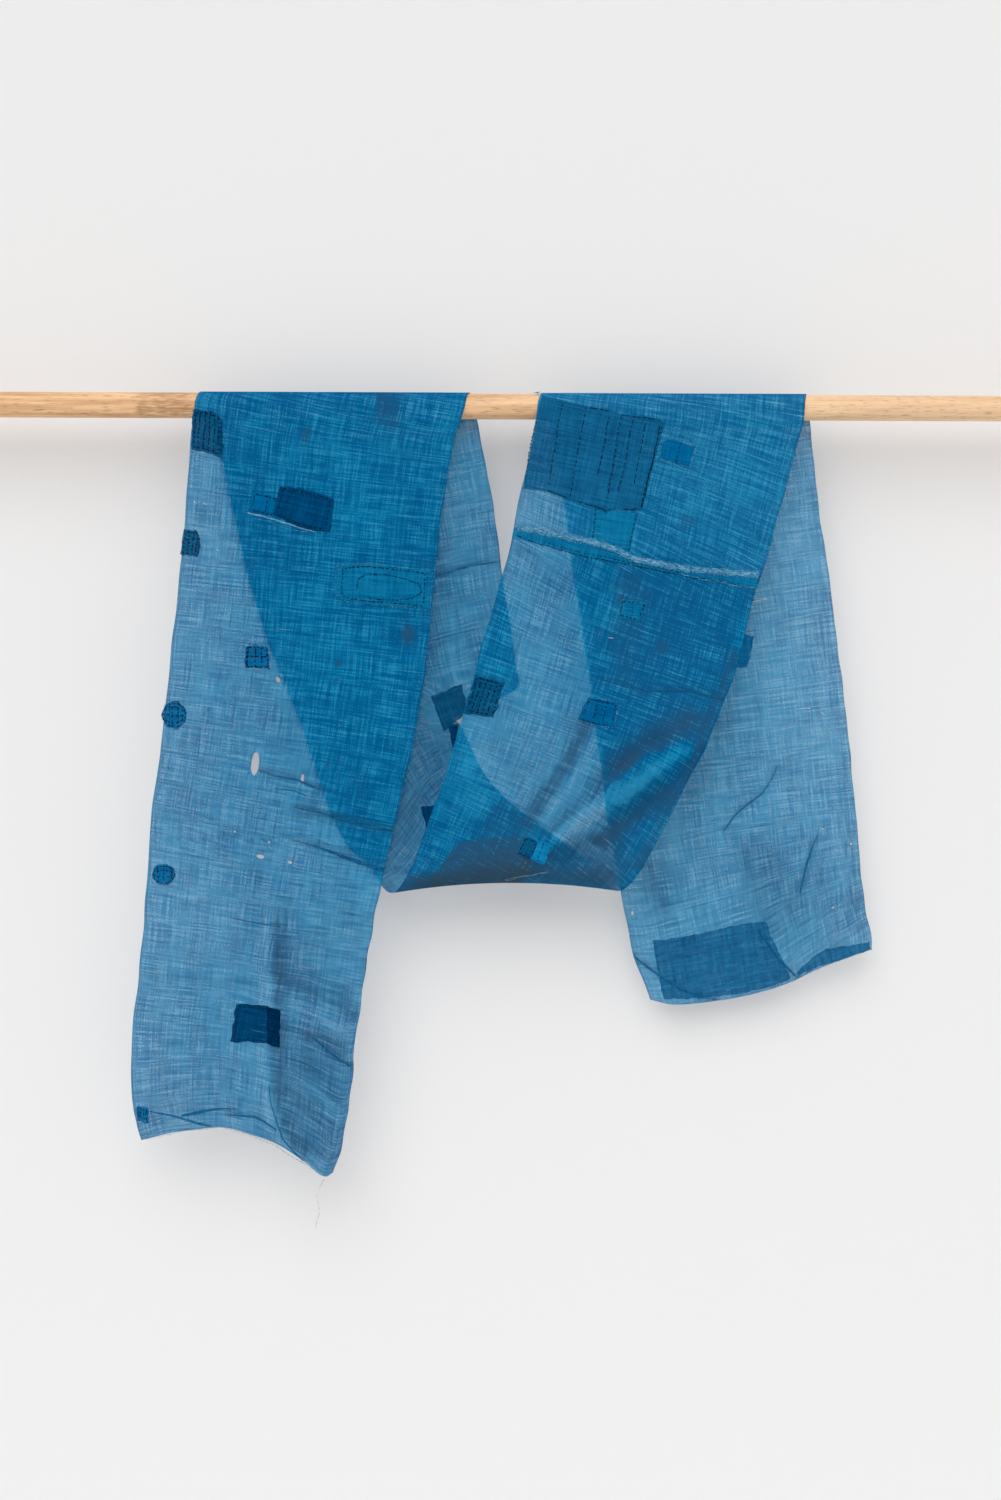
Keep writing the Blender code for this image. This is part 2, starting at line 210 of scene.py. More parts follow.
TAIL_CREASES = (
    (4, -2.0, 0.24, ((351, 450), (345, 465), (332, 485), (315, 498), (298, 512), (284, 533))),
    (4, -2.0, 0.28, ((403, 536), (395, 556), (388, 577), (381, 611))),
    (6, -1.5, 0.05, ((233, 593), (257, 582), (276, 570))),
    (5, -3.0, 0.25, ((170, 692), (208, 720), (252, 742), (276, 747))),
    (9, -3.5, 0.08, ((184, 579), (198, 612), (215, 640))),
    (5, 3.0, 0.2, ((326, 656), (351, 692), (375, 717))),
    (5, 2.0, 0.0, ((375, 712), (416, 681), (470, 671))),
    (12, 0.0, 0.2, ((302, 545), (322, 610), (342, 655))), (24, 0.0, 0.13, ((340, 570), (372, 660))),
    (50, 0.0, -0.16, ((350, 120), (380, 400))), (12, 0.0, -0.08, ((240, 560), (290, 650))),
    (8, 1.0, 0.1, ((236, 400), (330, 380), (420, 392))),
    (3, 0.0, 0.2, ((391, 90), (400, 183), (418, 306), (434, 432), (446, 557), (458, 660))),
    (2.5, 0.0, 0.16, ((391, 183), (409, 306), (425, 432), (437, 557), (448, 650))),
    (3, 0.0, -0.14, ((405, 183), (423, 306), (438, 432), (450, 557))),
    (9, 0.0, -0.1, ((300, 120), (330, 300), (352, 430))),
    (12, 0.0, 0.1, ((190, 585), (204, 622), (216, 645))), (10, 0.0, -0.08, ((282, 560), (300, 630))),
    (10, 0.0, -0.08, ((400, 250), (436, 600))), (45, 0.0, 0.09, ((395, 600), (410, 660))),
    (50, 0.0, 0.05, ((240, 590), (290, 640))),
)


def smooth_step(value):
    """0 below 0, 1 above 1, and the eased ramp 3s^2 - 2s^3 between."""
    share = np.clip(value, 0.0, 1.0)
    return share * share * (3.0 - 2.0 * share)


def read_table(table, column, at):
    """A column read at any place: a cubic between rows, whose slope at each row is the harmonic mean
    of the slopes beside it, or zero where they turn, so that it never overshoots."""
    rows = np.array(table, dtype=float)
    knots = rows[:, 0]
    values = rows[:, column]
    spans = np.diff(knots)
    rises = np.diff(values) / spans
    slopes = np.zeros(len(knots))
    slopes[0] = rises[0]
    slopes[-1] = rises[-1]
    same_way = rises[:-1] * rises[1:] > 0
    means = 2.0 * rises[:-1] * rises[1:] / np.where(same_way, rises[:-1] + rises[1:], 1.0)
    slopes[1:-1] = np.where(same_way, means, 0.0)
    at = np.clip(np.asarray(at, dtype=float), knots[0], knots[-1])
    cell = np.clip(np.searchsorted(knots, at, side="right") - 1, 0, len(spans) - 1)
    share = (at - knots[cell]) / spans[cell]
    cubed = share**3
    squared = share**2
    return (
        (2 * cubed - 3 * squared + 1) * values[cell]
        + (cubed - 2 * squared + share) * slopes[cell] * spans[cell]
        + (3 * squared - 2 * cubed) * values[cell + 1]
        + (cubed - squared) * slopes[cell + 1] * spans[cell]
    )


def distance_to(line, x, drop):
    """The distance from each place to a line of (x, drop) points."""
    nearest = np.full_like(x, 1e9)
    for (x0, drop0), (x1, drop1) in zip(line, line[1:]):
        run_x = x1 - x0
        run_drop = drop1 - drop0
        along = ((x - x0) * run_x + (drop - drop0) * run_drop) / (run_x**2 + run_drop**2)
        along = np.clip(along, 0.0, 1.0)
        nearest = np.minimum(nearest, np.hypot(x - x0 - along * run_x, drop - drop0 - along * run_drop))
    return nearest


def fold_sum(folds, column, x, drop):
    """The sum over folds of one column * exp(-(distance to the fold's line / half width)^2)."""
    total = np.zeros_like(x)
    for fold in folds:
        total += fold[column] * np.exp(-((distance_to(fold[-1], x, drop) / fold[0]) ** 2))
    return total


def ripple(x, y, seed, wave, count=9):
    """Smooth unevenness near -1 to 1: the mean of sines in random directions, near one wavelength."""
    dice = np.random.default_rng(seed)
    total = np.zeros(np.broadcast(x, y).shape)
    for turn, phase, stretch in dice.random((count, 3)):
        angle = turn * math.pi
        pitch = wave * (0.6 + stretch)
        total += np.sin(2 * math.pi * ((x * math.cos(angle) + y * math.sin(angle)) / pitch + phase))
    return total / math.sqrt(count)


# %% [markdown]
# ## From tables to points
#
# A hang is a function of two parameters: x and the drop, both in millimetres. Near the rod the sheet
# is smooth, because its own weight pulls it taut there, and lower down the folds and a faint
# unevenness come in. A drop below zero goes up round the rod, so a patch can reach over its top.

# %% Hangs as functions
# how the cloth slackens below the rod, its unevenness and the loop's arch, in millimetres
TAUT_DROP = 30.0
SLACKENING = 90.0
UNEVENNESS = 0.9
UNEVEN_WAVE = 60.0
SELVEDGE_WAVE = 62.0
WAVY_DROP = 560.0
WAVY_REACH = 150.0
LOOP_MIDDLE = 18.0
LOOP_HALF_WIDTH = 150.0
LOOP_ARCH = 13.0
LOOP_SINK = 5.0
LOOP_START = 470.0
LOOP_REACH = 110.0


def hang_row(table, folds, creases, side, loop=False, ahead=0.0):
    """One stretch: its tables, its side of the rod, and whether it ends in the loop."""
    return dict(table=table, folds=folds, creases=creases, side=side, loop=loop, ahead=ahead)


HANGS = {
    "left_tail": hang_row(LEFT_TAIL, LEFT_TAIL_FOLDS, LEFT_TAIL_CREASES, -1),
    "back": hang_row(BACK_LAYER, BACK_FOLDS, BACK_CREASES, 1, loop=True),
    "front_low": hang_row(FRONT_PANEL, FRONT_FOLDS, FRONT_CREASES, -1, loop=True, ahead=LAP_STEP),
    "front_high": hang_row(FRONT_PANEL, FRONT_FOLDS, FRONT_CREASES, -1),
    "right_tail": hang_row(RIGHT_TAIL, TAIL_FOLDS, TAIL_CREASES, 1),
}


def loop_lift(x, drop):
    """How far the loop's bottom is raised: an arch across it, eased in over the last drops."""
    away = np.minimum(1.0, np.abs(x - LOOP_MIDDLE) / LOOP_HALF_WIDTH)
    return (LOOP_ARCH * (1.0 - away**2) - LOOP_SINK) * smooth_step((drop - LOOP_START) / LOOP_REACH)


def relief(name, x, drop):
    """Height of folds, creases and faint unevenness, zero where the rod pulls the cloth taut."""
    hang = HANGS[name]
    height = fold_sum(hang["folds"], 1, x, drop) + fold_sum(hang["creases"], 1, x, drop)
    height = height + UNEVENNESS * ripple(x, drop, 5, UNEVEN_WAVE)
    return height * smooth_step((drop - TAUT_DROP) / SLACKENING)


def face(name, x, drop, lift=0.0):
    """Points of a hang at any x and drop, lifted off the face that the viewer sees.

    Round the rod, the angle is the run divided by the radius."""
    hang = HANGS[name]
    x, drop = np.broadcast_arrays(np.asarray(x, dtype=float), np.asarray(drop, dtype=float))
    below = np.maximum(drop, 0.0)
    out = WRAP_RADIUS + hang["ahead"] * (hang["side"] < 0) - lift * hang["side"]
    turn = np.clip(-drop, 0.0, None) / out
    depth = read_table(hang["table"], 3, below) - relief(name, x, below)
    y = hang["side"] * out * np.cos(turn) + depth
    fall = below - (loop_lift(x, below) if hang["loop"] else 0.0)
    z = np.where(drop < 0, out * np.sin(turn), -fall)
    return np.stack([x, y, z], axis=-1) * MM


def seen(name, x, drop, lift=0.0):
    """Points of a hang at a drop as it is seen, which the loop's raised bottom shifts a little."""
    if HANGS[name]["loop"]:
        drop = drop + loop_lift(x, drop + loop_lift(x, drop))
    return face(name, x, drop, lift)


def hang_places(name, across, drop):
    """The x and drop of places across a hang, with a slightly wavy selvedge, wavier low down."""
    table = HANGS[name]["table"]
    wave = 0.6 + 0.9 * smooth_step((drop - WAVY_DROP) / WAVY_REACH)
    left = read_table(table, 1, drop) + 0.7 * wave * ripple(drop, 0.0, 21, SELVEDGE_WAVE)
    right = read_table(table, 2, drop) + wave * ripple(drop, 0.0, 22, SELVEDGE_WAVE)
    x, drop = np.broadcast_arrays(left + across * (right - left), drop)
    return x.copy(), drop.copy()


def levels(*stretches):
    """Row drops for stretches given as (start, end, pitch)."""
    rows = [np.linspace(a, b, max(2, round(abs(b - a) / pitch) + 1))[:-1] for a, b, pitch in stretches]
    return np.append(np.concatenate(rows), stretches[-1][1])


def turn_rows(level, end_table, reach, across):
    """Rows that start level and turn, over the last reach, into an end's own line."""
    line = read_table(end_table, 1, across)
    first = level[0]
    last = np.mean(line)
    share = (level - first) / (level[-1] - first)
    gone = np.abs(share * (last - first))
    ease = smooth_step((gone - (abs(last - first) - reach)) / reach)
    return first + share[:, None] * (last - first) + ease[:, None] * (line - last)[None, :]


def over_rod(front, back, across, steps):
    """Rows round the rod: half a circle, with both edges moving evenly along X."""
    turn = np.linspace(0.0, 1.0, steps + 1)[1:-1, None]
    left = front[0] + turn * (back[0] - front[0])
    right = front[1] + turn * (back[1] - front[1])
    x = left + across[None, :] * (right - left)
    y = np.broadcast_to(-WRAP_RADIUS * np.cos(math.pi * turn), x.shape)
    z = np.broadcast_to(WRAP_RADIUS * np.sin(math.pi * turn), x.shape)
    return np.stack([x, y, z], axis=-1) * MM


def under_loop(across, steps):
    """Rows round the loop's bottom: half a circle that joins the back layer to the front panel."""
    turn = np.linspace(0.0, 1.0, steps + 1)[1:-1, None]
    left = BACK_LAYER[-1][1] + turn * (FRONT_PANEL[-1][1] - BACK_LAYER[-1][1])
    right = BACK_LAYER[-1][2] + turn * (FRONT_PANEL[-1][2] - BACK_LAYER[-1][2])
    x = left + across[None, :] * (right - left)
    drop = np.broadcast_to(LOOP_CENTRE_DROP + LOOP_RADIUS * np.sin(math.pi * turn), x.shape)
    y = np.broadcast_to(LOOP_CENTRE_DEPTH + LOOP_RADIUS * np.cos(math.pi * turn), x.shape)
    y = y - relief("front_low", x, drop) * turn**2 - relief("back", x, drop) * (1 - turn) ** 2
    return np.stack([x, y, loop_lift(x, drop) - drop], axis=-1) * MM


# %% [markdown]
# ## Weave coordinates
#
# The weave has to follow the cloth, not the room. So each cloth gets a UV map in metres: U runs from
# selvedge to selvedge and V along the cloth. The cloth hangs at a slant, so V is also sheared a
# little, which keeps the weft square to the selvedges.

# %% Mesh helpers
def weave_uv(points):
    """U is the place across times the loom width; V is the run along the middle, plus the shear
    (across - 0.5) * width * slope of the middle line."""
    across = np.linspace(0.0, 1.0, points.shape[1])
    middle = points[:, points.shape[1] // 2]
    steps = np.linalg.norm(np.diff(middle, axis=0), axis=1)
    run = np.concatenate([[0.0], np.cumsum(steps)])
    slope = np.gradient(points[:, :, 0].mean(axis=1), run)
    window = np.hanning(41)
    padded = np.pad(slope, 20, mode="edge")
    slope = np.convolve(padded, window / window.sum(), mode="valid")
    u = np.broadcast_to(across * LOOM_WIDTH, points.shape[:2])
    v = run[:, None] + (across[None, :] - 0.5) * LOOM_WIDTH * slope[:, None]
    return np.stack([u, v], axis=-1)


def grid_cells(rows, across):
    """The corners of every square cell of a grid of points, counted row by row."""
    corner = np.arange(rows * across).reshape(rows, across)
    return np.stack([corner[:-1, :-1], corner[1:, :-1], corner[1:, 1:], corner[:-1, 1:]], axis=-1)


def grid_mesh(name, points, uv, keep=None):
    """A sheet of square cells from rows of points, with its UV map; keep leaves cells out."""
    cells = grid_cells(*points.shape[:2])
    cells = cells.reshape(-1, 4) if keep is None else cells[keep]
    mesh = bpy.data.meshes.new(name)
    mesh.from_pydata(points.reshape(-1, 3).tolist(), [], cells.tolist())
    layer = mesh.uv_layers.new(name="weave")
    layer.data.foreach_set("uv", uv.reshape(-1, 2)[cells.ravel()].astype(np.float32).ravel())
    mesh.shade_smooth()
    return mesh


def add_piece(name, mesh, finish, thickness=0.0):
    """An object at the origin that rides on the body, thickened to both sides where asked."""
    piece = bpy.data.objects.new(name, mesh)
    bpy.context.scene.collection.objects.link(piece)
    piece.data.materials.append(finish)
    if thickness:
        shell = piece.modifiers.new("Thickness", "SOLIDIFY")
        shell.thickness = thickness
        shell.offset = 0.0
        shell.use_even_offset = False
    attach(piece, "root")
    return piece


def tube_mesh(name, paths, radius, sides):
    """Many thin tubes as one mesh: round each path's point a ring centre + radius * (first * cos +
    second * sin), where first and second are square to the path, and a flat cap at both ends."""
    count, steps = paths.shape[:2]
    along = np.gradient(paths, axis=1)
    along /= np.linalg.norm(along, axis=-1, keepdims=True) + 1e-12
    reference = np.array([0.3, -1.0, 0.2])
    first = reference - (along @ reference)[..., None] * along
    first /= np.linalg.norm(first, axis=-1, keepdims=True)
    second = np.cross(along, first)
    angle = np.linspace(0.0, 2 * math.pi, sides, endpoint=False)[:, None]
    ring = first[:, :, None, :] * np.cos(angle) + second[:, :, None, :] * np.sin(angle)
    radius = np.broadcast_to(radius, (count, steps))
    points = paths[:, :, None, :] + radius[:, :, None, None] * ring
    corner = np.arange(count * steps * sides).reshape(count, steps, sides)
    after = np.roll(corner, -1, axis=2)
    walls = np.stack([corner[:, :-1], after[:, :-1], after[:, 1:], corner[:, 1:]], axis=-1)
    mesh = bpy.data.meshes.new(name)
    faces = walls.reshape(-1, 4).tolist() + corner[:, 0, ::-1].tolist() + corner[:, -1].tolist()
    mesh.from_pydata(points.reshape(-1, 3).tolist(), [], faces)
    mesh.shade_smooth()
    return mesh


# %% [markdown]
# ## The woven finish
#
# The real cloth is a plain weave of hand-spun thread, so thick and thin threads make pale and dark
# streaks both ways. A shader group makes them once for every cloth here: noise that is stretched
# along the warp, the same along the weft, a few pale slubs, and a broad mottling from uneven dye.

# %% Shader helpers
def add_node(tree, kind, inputs=None, **settings):
    """A node with its settings, and each input linked from a socket or set to a value."""
    made = tree.nodes.new(kind)
    for key, value in settings.items():
        setattr(made, key, value)
    for key, value in (inputs or {}).items():
        if isinstance(value, bpy.types.NodeSocket):
            tree.links.new(value, made.inputs[key])
        else:
            made.inputs[key].default_value = value
    return made


def maths(tree, operation, first, second=0.0, clamp=False):
    """One math node's result."""
    made = add_node(tree, "ShaderNodeMath", {0: first, 1: second}, operation=operation, use_clamp=clamp)
    return made.outputs[0]


def total(tree, base, *terms):
    """The base plus each (value, centre, weight) term: weight * (value - centre)."""
    result = base
    for value, centre, weight in terms:
        part = maths(tree, "MULTIPLY", maths(tree, "SUBTRACT", value, centre), weight)
        result = maths(tree, "ADD", part, result)
    return result


def noise_at(tree, place, detail):
    """Noise at a place whose unit is one wave."""
    noise = add_node(tree, "ShaderNodeTexNoise", {"Vector": place, "Scale": 1.0, "Detail": detail})
    return noise.outputs["Fac"]


def streaks(tree, u, v, along_u, along_v, seed, detail):
    """Noise whose waves are so many a metre along U and along V."""
    place = add_node(
        tree,
        "ShaderNodeCombineXYZ",
        {0: maths(tree, "MULTIPLY", u, along_u), 1: maths(tree, "MULTIPLY", v, along_v), 2: seed},
    )
    return noise_at(tree, place.outputs[0], detail)


def remap(tree, value, low, high, to_low=0.0, to_high=1.0):
    """A value mapped from one range to another, and kept inside it."""
    made = add_node(
        tree,
        "ShaderNodeMapRange",
        {"Value": value, "From Min": low, "From Max": high, "To Min": to_low, "To Max": to_high},
    )
    return made.outputs["Result"]


def blend_colours(tree, share, first, second):
    """A colour between two, each a socket or a linear red, green and blue."""
    made = add_node(tree, "ShaderNodeMix", {"Factor": share}, data_type="RGBA")
    for socket, colour in zip((made.inputs[6], made.inputs[7]), (first, second)):
        if isinstance(colour, bpy.types.NodeSocket):
            tree.links.new(colour, socket)
        else:
            socket.default_value = (*colour, 1.0)
    return made.outputs[2]


def new_group(name, inputs, outputs):
    """A shader group with named sockets, and its two end nodes."""
    tree = bpy.data.node_groups.new(name, "ShaderNodeTree")
    for label, kind, default in inputs:
        made = tree.interface.new_socket(label, in_out="INPUT", socket_type=kind)
        if default is not None:
            made.default_value = default
    for label in outputs:
        tree.interface.new_socket(label, in_out="OUTPUT", socket_type="NodeSocketFloat")
    return tree, tree.nodes.new("NodeGroupInput"), tree.nodes.new("NodeGroupOutput")


def new_finish(name, roughness, specular=0.5):
    """A material, its node tree and its main shader."""
    finish = bpy.data.materials.new(name)
    finish.use_nodes = True
    shader = finish.node_tree.nodes["Principled BSDF"]
    shader.inputs["Roughness"].default_value = roughness
    shader.inputs["Specular IOR Level"].default_value = specular
    return finish, finish.node_tree, shader


def add_bump(tree, shader, height, strength, distance):
    """Small relief in the shader's normal, from a height."""
    bump = add_node(tree, "ShaderNodeBump", {"Strength": strength, "Distance": distance, "Height": height})
    tree.links.new(bump.outputs["Normal"], shader.inputs["Normal"])


# name: waves a metre along U and along V, shift of the seed, detail
WEAVE_NOISES = {
    "warp": (500.0, 24.0, 0.0, 1.0),
    "weft": (22.0, 500.0, 3.0, 1.0),
    "wide_warp": (250.0, 10.0, 5.0, 1.0),
    "wide_weft": (8.0, 270.0, 9.0, 1.0),
    "grain": (640.0, 640.0, 0.0, 1.0),
    "slub": (16.0, 460.0, 7.0, 1.0),
    "cloud": (30.0, 16.0, 0.0, 2.0),
    "broad": (7.0, 5.0, 0.0, 1.0),
}
# the range in which a thread's density varies, and the least light of a dark thread
THIN_LIMIT = 0.32
DARK_LIMIT = -0.2


def woven_group():
    """Thread streaks, slubs, dye mottling and thin places, on a weave's own UV in metres."""
    tree, start, end = new_group(
        "hand_woven",
        (
            ("UV", "NodeSocketVector", None),
            ("Contrast", "NodeSocketFloat", 1.0),
            ("Mottle", "NodeSocketFloat", 1.0),
            ("Seed", "NodeSocketFloat", 0.0),
        ),
        ("Light", "Thin", "Slub", "Height"),
    )
    u, v = add_node(tree, "ShaderNodeSeparateXYZ", {0: start.outputs["UV"]}).outputs[:2]
    noise = {}
    for label, (along_u, along_v, shift, detail) in WEAVE_NOISES.items():
        seed = maths(tree, "ADD", start.outputs["Seed"], shift)
        noise[label] = streaks(tree, u, v, along_u, along_v, seed, detail)
    fine = total(tree, 0.0, (noise["warp"], 0.5, 1.2), (noise["weft"], 0.5, 1.4), (noise["grain"], 0.5, 1.0))
    wide = total(tree, 0.0, (noise["wide_warp"], 0.5, 0.5), (noise["wide_weft"], 0.5, 0.7))
    even = remap(tree, fine, -THIN_LIMIT, THIN_LIMIT, -THIN_LIMIT, THIN_LIMIT)
    sparse = total(tree, even, (wide, 0.0, 0.6))
    thin = maths(tree, "ADD", maths(tree, "MULTIPLY", sparse, 0.8), 0.5, clamp=True)
    threads = maths(tree, "ADD", maths(tree, "MAXIMUM", fine, DARK_LIMIT), wide)
    dye = total(tree, 0.0, (noise["cloud"], 0.5, 0.6), (noise["broad"], 0.5, 0.5))
    contrast = start.outputs["Contrast"]
    light = total(tree, 0.5, (threads, 0.0, contrast), (dye, 0.0, start.outputs["Mottle"]))
    height = total(tree, noise["grain"], (noise["warp"], 0.0, 1.0), (noise["weft"], 0.0, 1.0))
    slub = remap(tree, noise["slub"], 0.75, 0.86)
    for label, value in (("Light", light), ("Thin", thin), ("Slub", slub), ("Height", height)):
        tree.links.new(value, end.inputs[label])
    return tree


WOVEN = woven_group()
GLOW = 0.5
SLUB_COLOUR = (0.2, 0.42, 0.58)
# what the stains with their painted shade and highlight, a cover and a backing add to the light and
# to the alpha; the darkening by a cover and by a backing is painted shade, where less light comes
# through from behind
STAIN_AND_SHADE_ADDS = (-0.7, 0.3)
COVER_ADDS = (-0.27, 0.05)
BACKING_ADDS = (-0.08, 0.16)
SECOND_COVER = 0.7
COVER_EDGE = 2.0
# stains and painted shade turn the cloth's colour towards this one
STAIN_AND_SHADE_COLOUR = (0.03, 0.07, 0.115)


def add_layers(tree, light, alpha, thin):
    """Darken and thicken a weave by its stains, covers and backing, read from the mesh: the stains carry
    painted shade and highlight too, and the darkening by covers and backing is painted shade.
    """
    labels = ("stain_and_shade", "cover_first", "cover_second", "backing")
    reads = [add_node(tree, "ShaderNodeAttribute", attribute_name=label).outputs["Fac"] for label in labels]
    stain_and_shade, first, second, backing = reads
    first = remap(tree, first, -COVER_EDGE, COVER_EDGE)
    second = remap(tree, second, -COVER_EDGE, COVER_EDGE)
    covered = total(tree, first, (second, 0.0, SECOND_COVER))
    doubled = maths(tree, "MULTIPLY", covered, 0.5)
    adds = ((stain_and_shade, STAIN_AND_SHADE_ADDS), (covered, COVER_ADDS), (backing, BACKING_ADDS))
    light = total(tree, light, (thin, 0.5, doubled), *[(value, 0.0, add[0]) for value, add in adds])
    alpha = total(tree, alpha, *[(value, 0.0, add[1]) for value, add in adds])
    return stain_and_shade, light, maths(tree, "ADD", alpha, 0.0, clamp=True)


def cloth_finish(name, deep, faded, thick, thin, contrast=1.0, mottle=1.0, seed=0.0, layered=False):
    """A sheer indigo weave: the colour goes from deep to faded, the alpha from thick to thin.

    A layered one also reads its piece's stains, which carry painted shade and painted highlight too,
    and how far each other layer covers it: there less light comes through from behind, so it is
    painted darker. Thin cloth also glows through, so it stops less of the light that falls on what is
    behind it than it stops of the view: rays that carry light meet a lower alpha."""
    finish, tree, shader = new_finish(name, 0.95, 0.0)
    uv = add_node(tree, "ShaderNodeUVMap", uv_map="weave").outputs["UV"]
    settings = {"UV": uv, "Contrast": contrast, "Mottle": mottle, "Seed": seed}
    group = add_node(tree, "ShaderNodeGroup", settings, node_tree=WOVEN)
    light = group.outputs["Light"]
    sparse = group.outputs["Thin"]
    alpha = remap(tree, sparse, 0.0, 1.0, thick, thin)
    pale = maths(tree, "MULTIPLY", group.outputs["Slub"], 0.6 * contrast)
    if layered:
        stain_and_shade, light, alpha = add_layers(tree, light, alpha, sparse)
        pale = maths(tree, "MAXIMUM", pale, remap(tree, sparse, 0.68, 0.9, 0.0, 0.22))
    eased = {"Value": light, "From Min": -0.25, "From Max": 1.25}
    share = add_node(tree, "ShaderNodeMapRange", eased, interpolation_type="SMOOTHSTEP").outputs["Result"]
    cloth_colour = blend_colours(tree, share, deep, faded)
    if layered:
        uneven = remap(tree, sparse, 0.1, 0.9, 1.2, 0.5)
        cloth_colour = blend_colours(tree, maths(tree, "MULTIPLY", stain_and_shade, uneven, clamp=True), cloth_colour, STAIN_AND_SHADE_COLOUR)
    tree.links.new(blend_colours(tree, pale, cloth_colour, SLUB_COLOUR), shader.inputs["Base Color"])
    rays = add_node(tree, "ShaderNodeLightPath")
    carried = maths(tree, "MAXIMUM", rays.outputs["Is Shadow Ray"], rays.outputs["Is Diffuse Ray"])
    kept = maths(tree, "SUBTRACT", 1.0, maths(tree, "MULTIPLY", carried, GLOW))
    tree.links.new(maths(tree, "MULTIPLY", alpha, kept), shader.inputs["Alpha"])
    add_bump(tree, shader, group.outputs["Height"], 0.3, 0.0002)
    return finish


LONG_FINISH = cloth_finish(
    "indigo_cloth", (0.0, 0.1, 0.27), (0.008, 0.325, 0.59), 0.83, 0.445, 1.0, layered=True
)
SHORT_FINISH = cloth_finish(
    "paler_cloth", (0.002, 0.125, 0.31), (0.024, 0.37, 0.645), 0.80, 0.39, 1.1, seed=2.0, layered=True
)
# name, deep and faded colour, thick and thin alpha, contrast, mottle, seed
PATCH_TONES = {
    "navy": ("navy_patch", (0.0, 0.02, 0.075), (0.0, 0.08, 0.22), 0.9, 0.8, 0.8, 0.6, 3.0),
    "indigo": ("indigo_patch", (0.0, 0.03, 0.1), (0.001, 0.095, 0.26), 0.9, 0.78, 1.0, 0.6, 4.0),
    "teal": ("teal_patch", (0.0, 0.04, 0.13), (0.004, 0.13, 0.28), 0.85, 0.65, 1.0, 0.8, 5.0),
    "blue": ("blue_patch", (0.0, 0.07, 0.22), (0.0, 0.2, 0.46), 0.8, 0.6, 0.9, 0.8, 8.0),
    # painted shade: a darker strip laid over a folded patch's side
    "fold_shade": ("fold_shade_finish", (0.0, 0.012, 0.045), (0.0, 0.035, 0.11), 0.92, 0.85, 0.8, 0.6, 6.0),
    "frayed": ("frayed_edge", (0.006, 0.16, 0.37), (0.1, 0.38, 0.6), 0.75, 0.5, 1.5, 1.0, 17.0),
    "bright": ("bright_patch", (0.0, 0.17, 0.42), (0.01, 0.3, 0.6), 0.85, 0.7, 1.0, 0.8, 20.0),
    "near": ("worn_patch", (0.0, 0.085, 0.24), (0.006, 0.25, 0.48), 0.75, 0.55, 1.1, 1.0, 14.0),
    "hem": ("hem_patch", (0.001, 0.065, 0.19), (0.012, 0.18, 0.385), 0.75, 0.47, 1.3, 0.7, 23.0),
    "slate": ("slate_patch", (0.002, 0.06, 0.17), (0.01, 0.18, 0.38), 0.8, 0.65, 1.0, 0.8, 11.0),
}
PATCH_FINISHES = {key: cloth_finish(*row) for key, row in PATCH_TONES.items()}

# %% [markdown]
# ## Stains, holes and covered places
#
# Stains, denser selvedges and pinched creases are one number at each point of the mesh, worked out
# from short tables: round spots, and plain fields near the loop. The same number carries painted
# shade and painted highlight: fields and broad spots paint the shade at the loop's bottom, where its
# cloth turns under, and fields along the ridge above paint its highlight. The distance by which a
# place lies inside another layer's outline is one such number too; from it the finish works out
# where less light comes through, and paints that place darker: painted shade, from the outlines as
# seen from the front. Holes are cut in the mesh: cells that touch the inside are left out, and the
# rim's points move onto the hole's own outline.

# %% Tables of marks
# the spots near the loop's bottom and the broad one over the layers behind the front panel are painted
# shade; the others are stains, and those with a negative darkness make places lighter
# by hang: x, drop, half width, half height, darkness
STAINS_AND_SHADES = {
    "left_tail": (
        (-245, 40, 6, 10, 0.4), (-140, 13, 17, 18, 0.32), (-150, 4, 6, 12, 0.25), (-116, 286, 9, 10, 0.6),
        (-203, 324, 4, 4, 0.6), (-205, 345, 3, 3, 0.5), (-185, 318, 3, 3, 0.4), (-216, 449, 3, 3, 0.6),
        (-198, 447, 3, 3, 0.5), (-363, 380, 3, 3, 0.4), (-278, 496, 7, 6, 0.25), (-299, 593, 8, 7, 0.3),
        (-184, 238, 5, 8, 0.45), (-190, 225, 12, 12, 0.15), (-210, 520, 16, 8, 0.12),
        (-272, 420, 16, 40, 0.1), (-368, 640, 60, 70, -0.08),
    ),
    "front_high": (
        (232, 144, 11, 10, 0.3), (90, 112, 30, 8, 0.1), (245, 80, 60, 50, -0.14),
    ),
    "front_low": (
        (148, 243, 4, 4, 0.6), (121, 281, 3, 3, 0.5), (200, 301, 8, 9, 0.28), (60, 222, 9, 5, 0.2),
        (160, 224, 22, 18, 0.2), (152, 292, 22, 60, 0.14), (215, 325, 105, 125, 0.15),
        (40, 415, 30, 40, -0.12), (55, 588, 60, 28, 0.12), (132, 562, 38, 34, 0.4),
    ),
    "right_tail": (
        (372, 490, 36, 40, -0.1),
    ),
}
# by hang: x, drop, half width, half height, how much thicker the cloth looks there; it is also a
# little darker there: painted shade where the layers behind let less light through
DENSE_AND_SHADED = {"front_low": ((216, 345, 98, 150, 1.0),)}
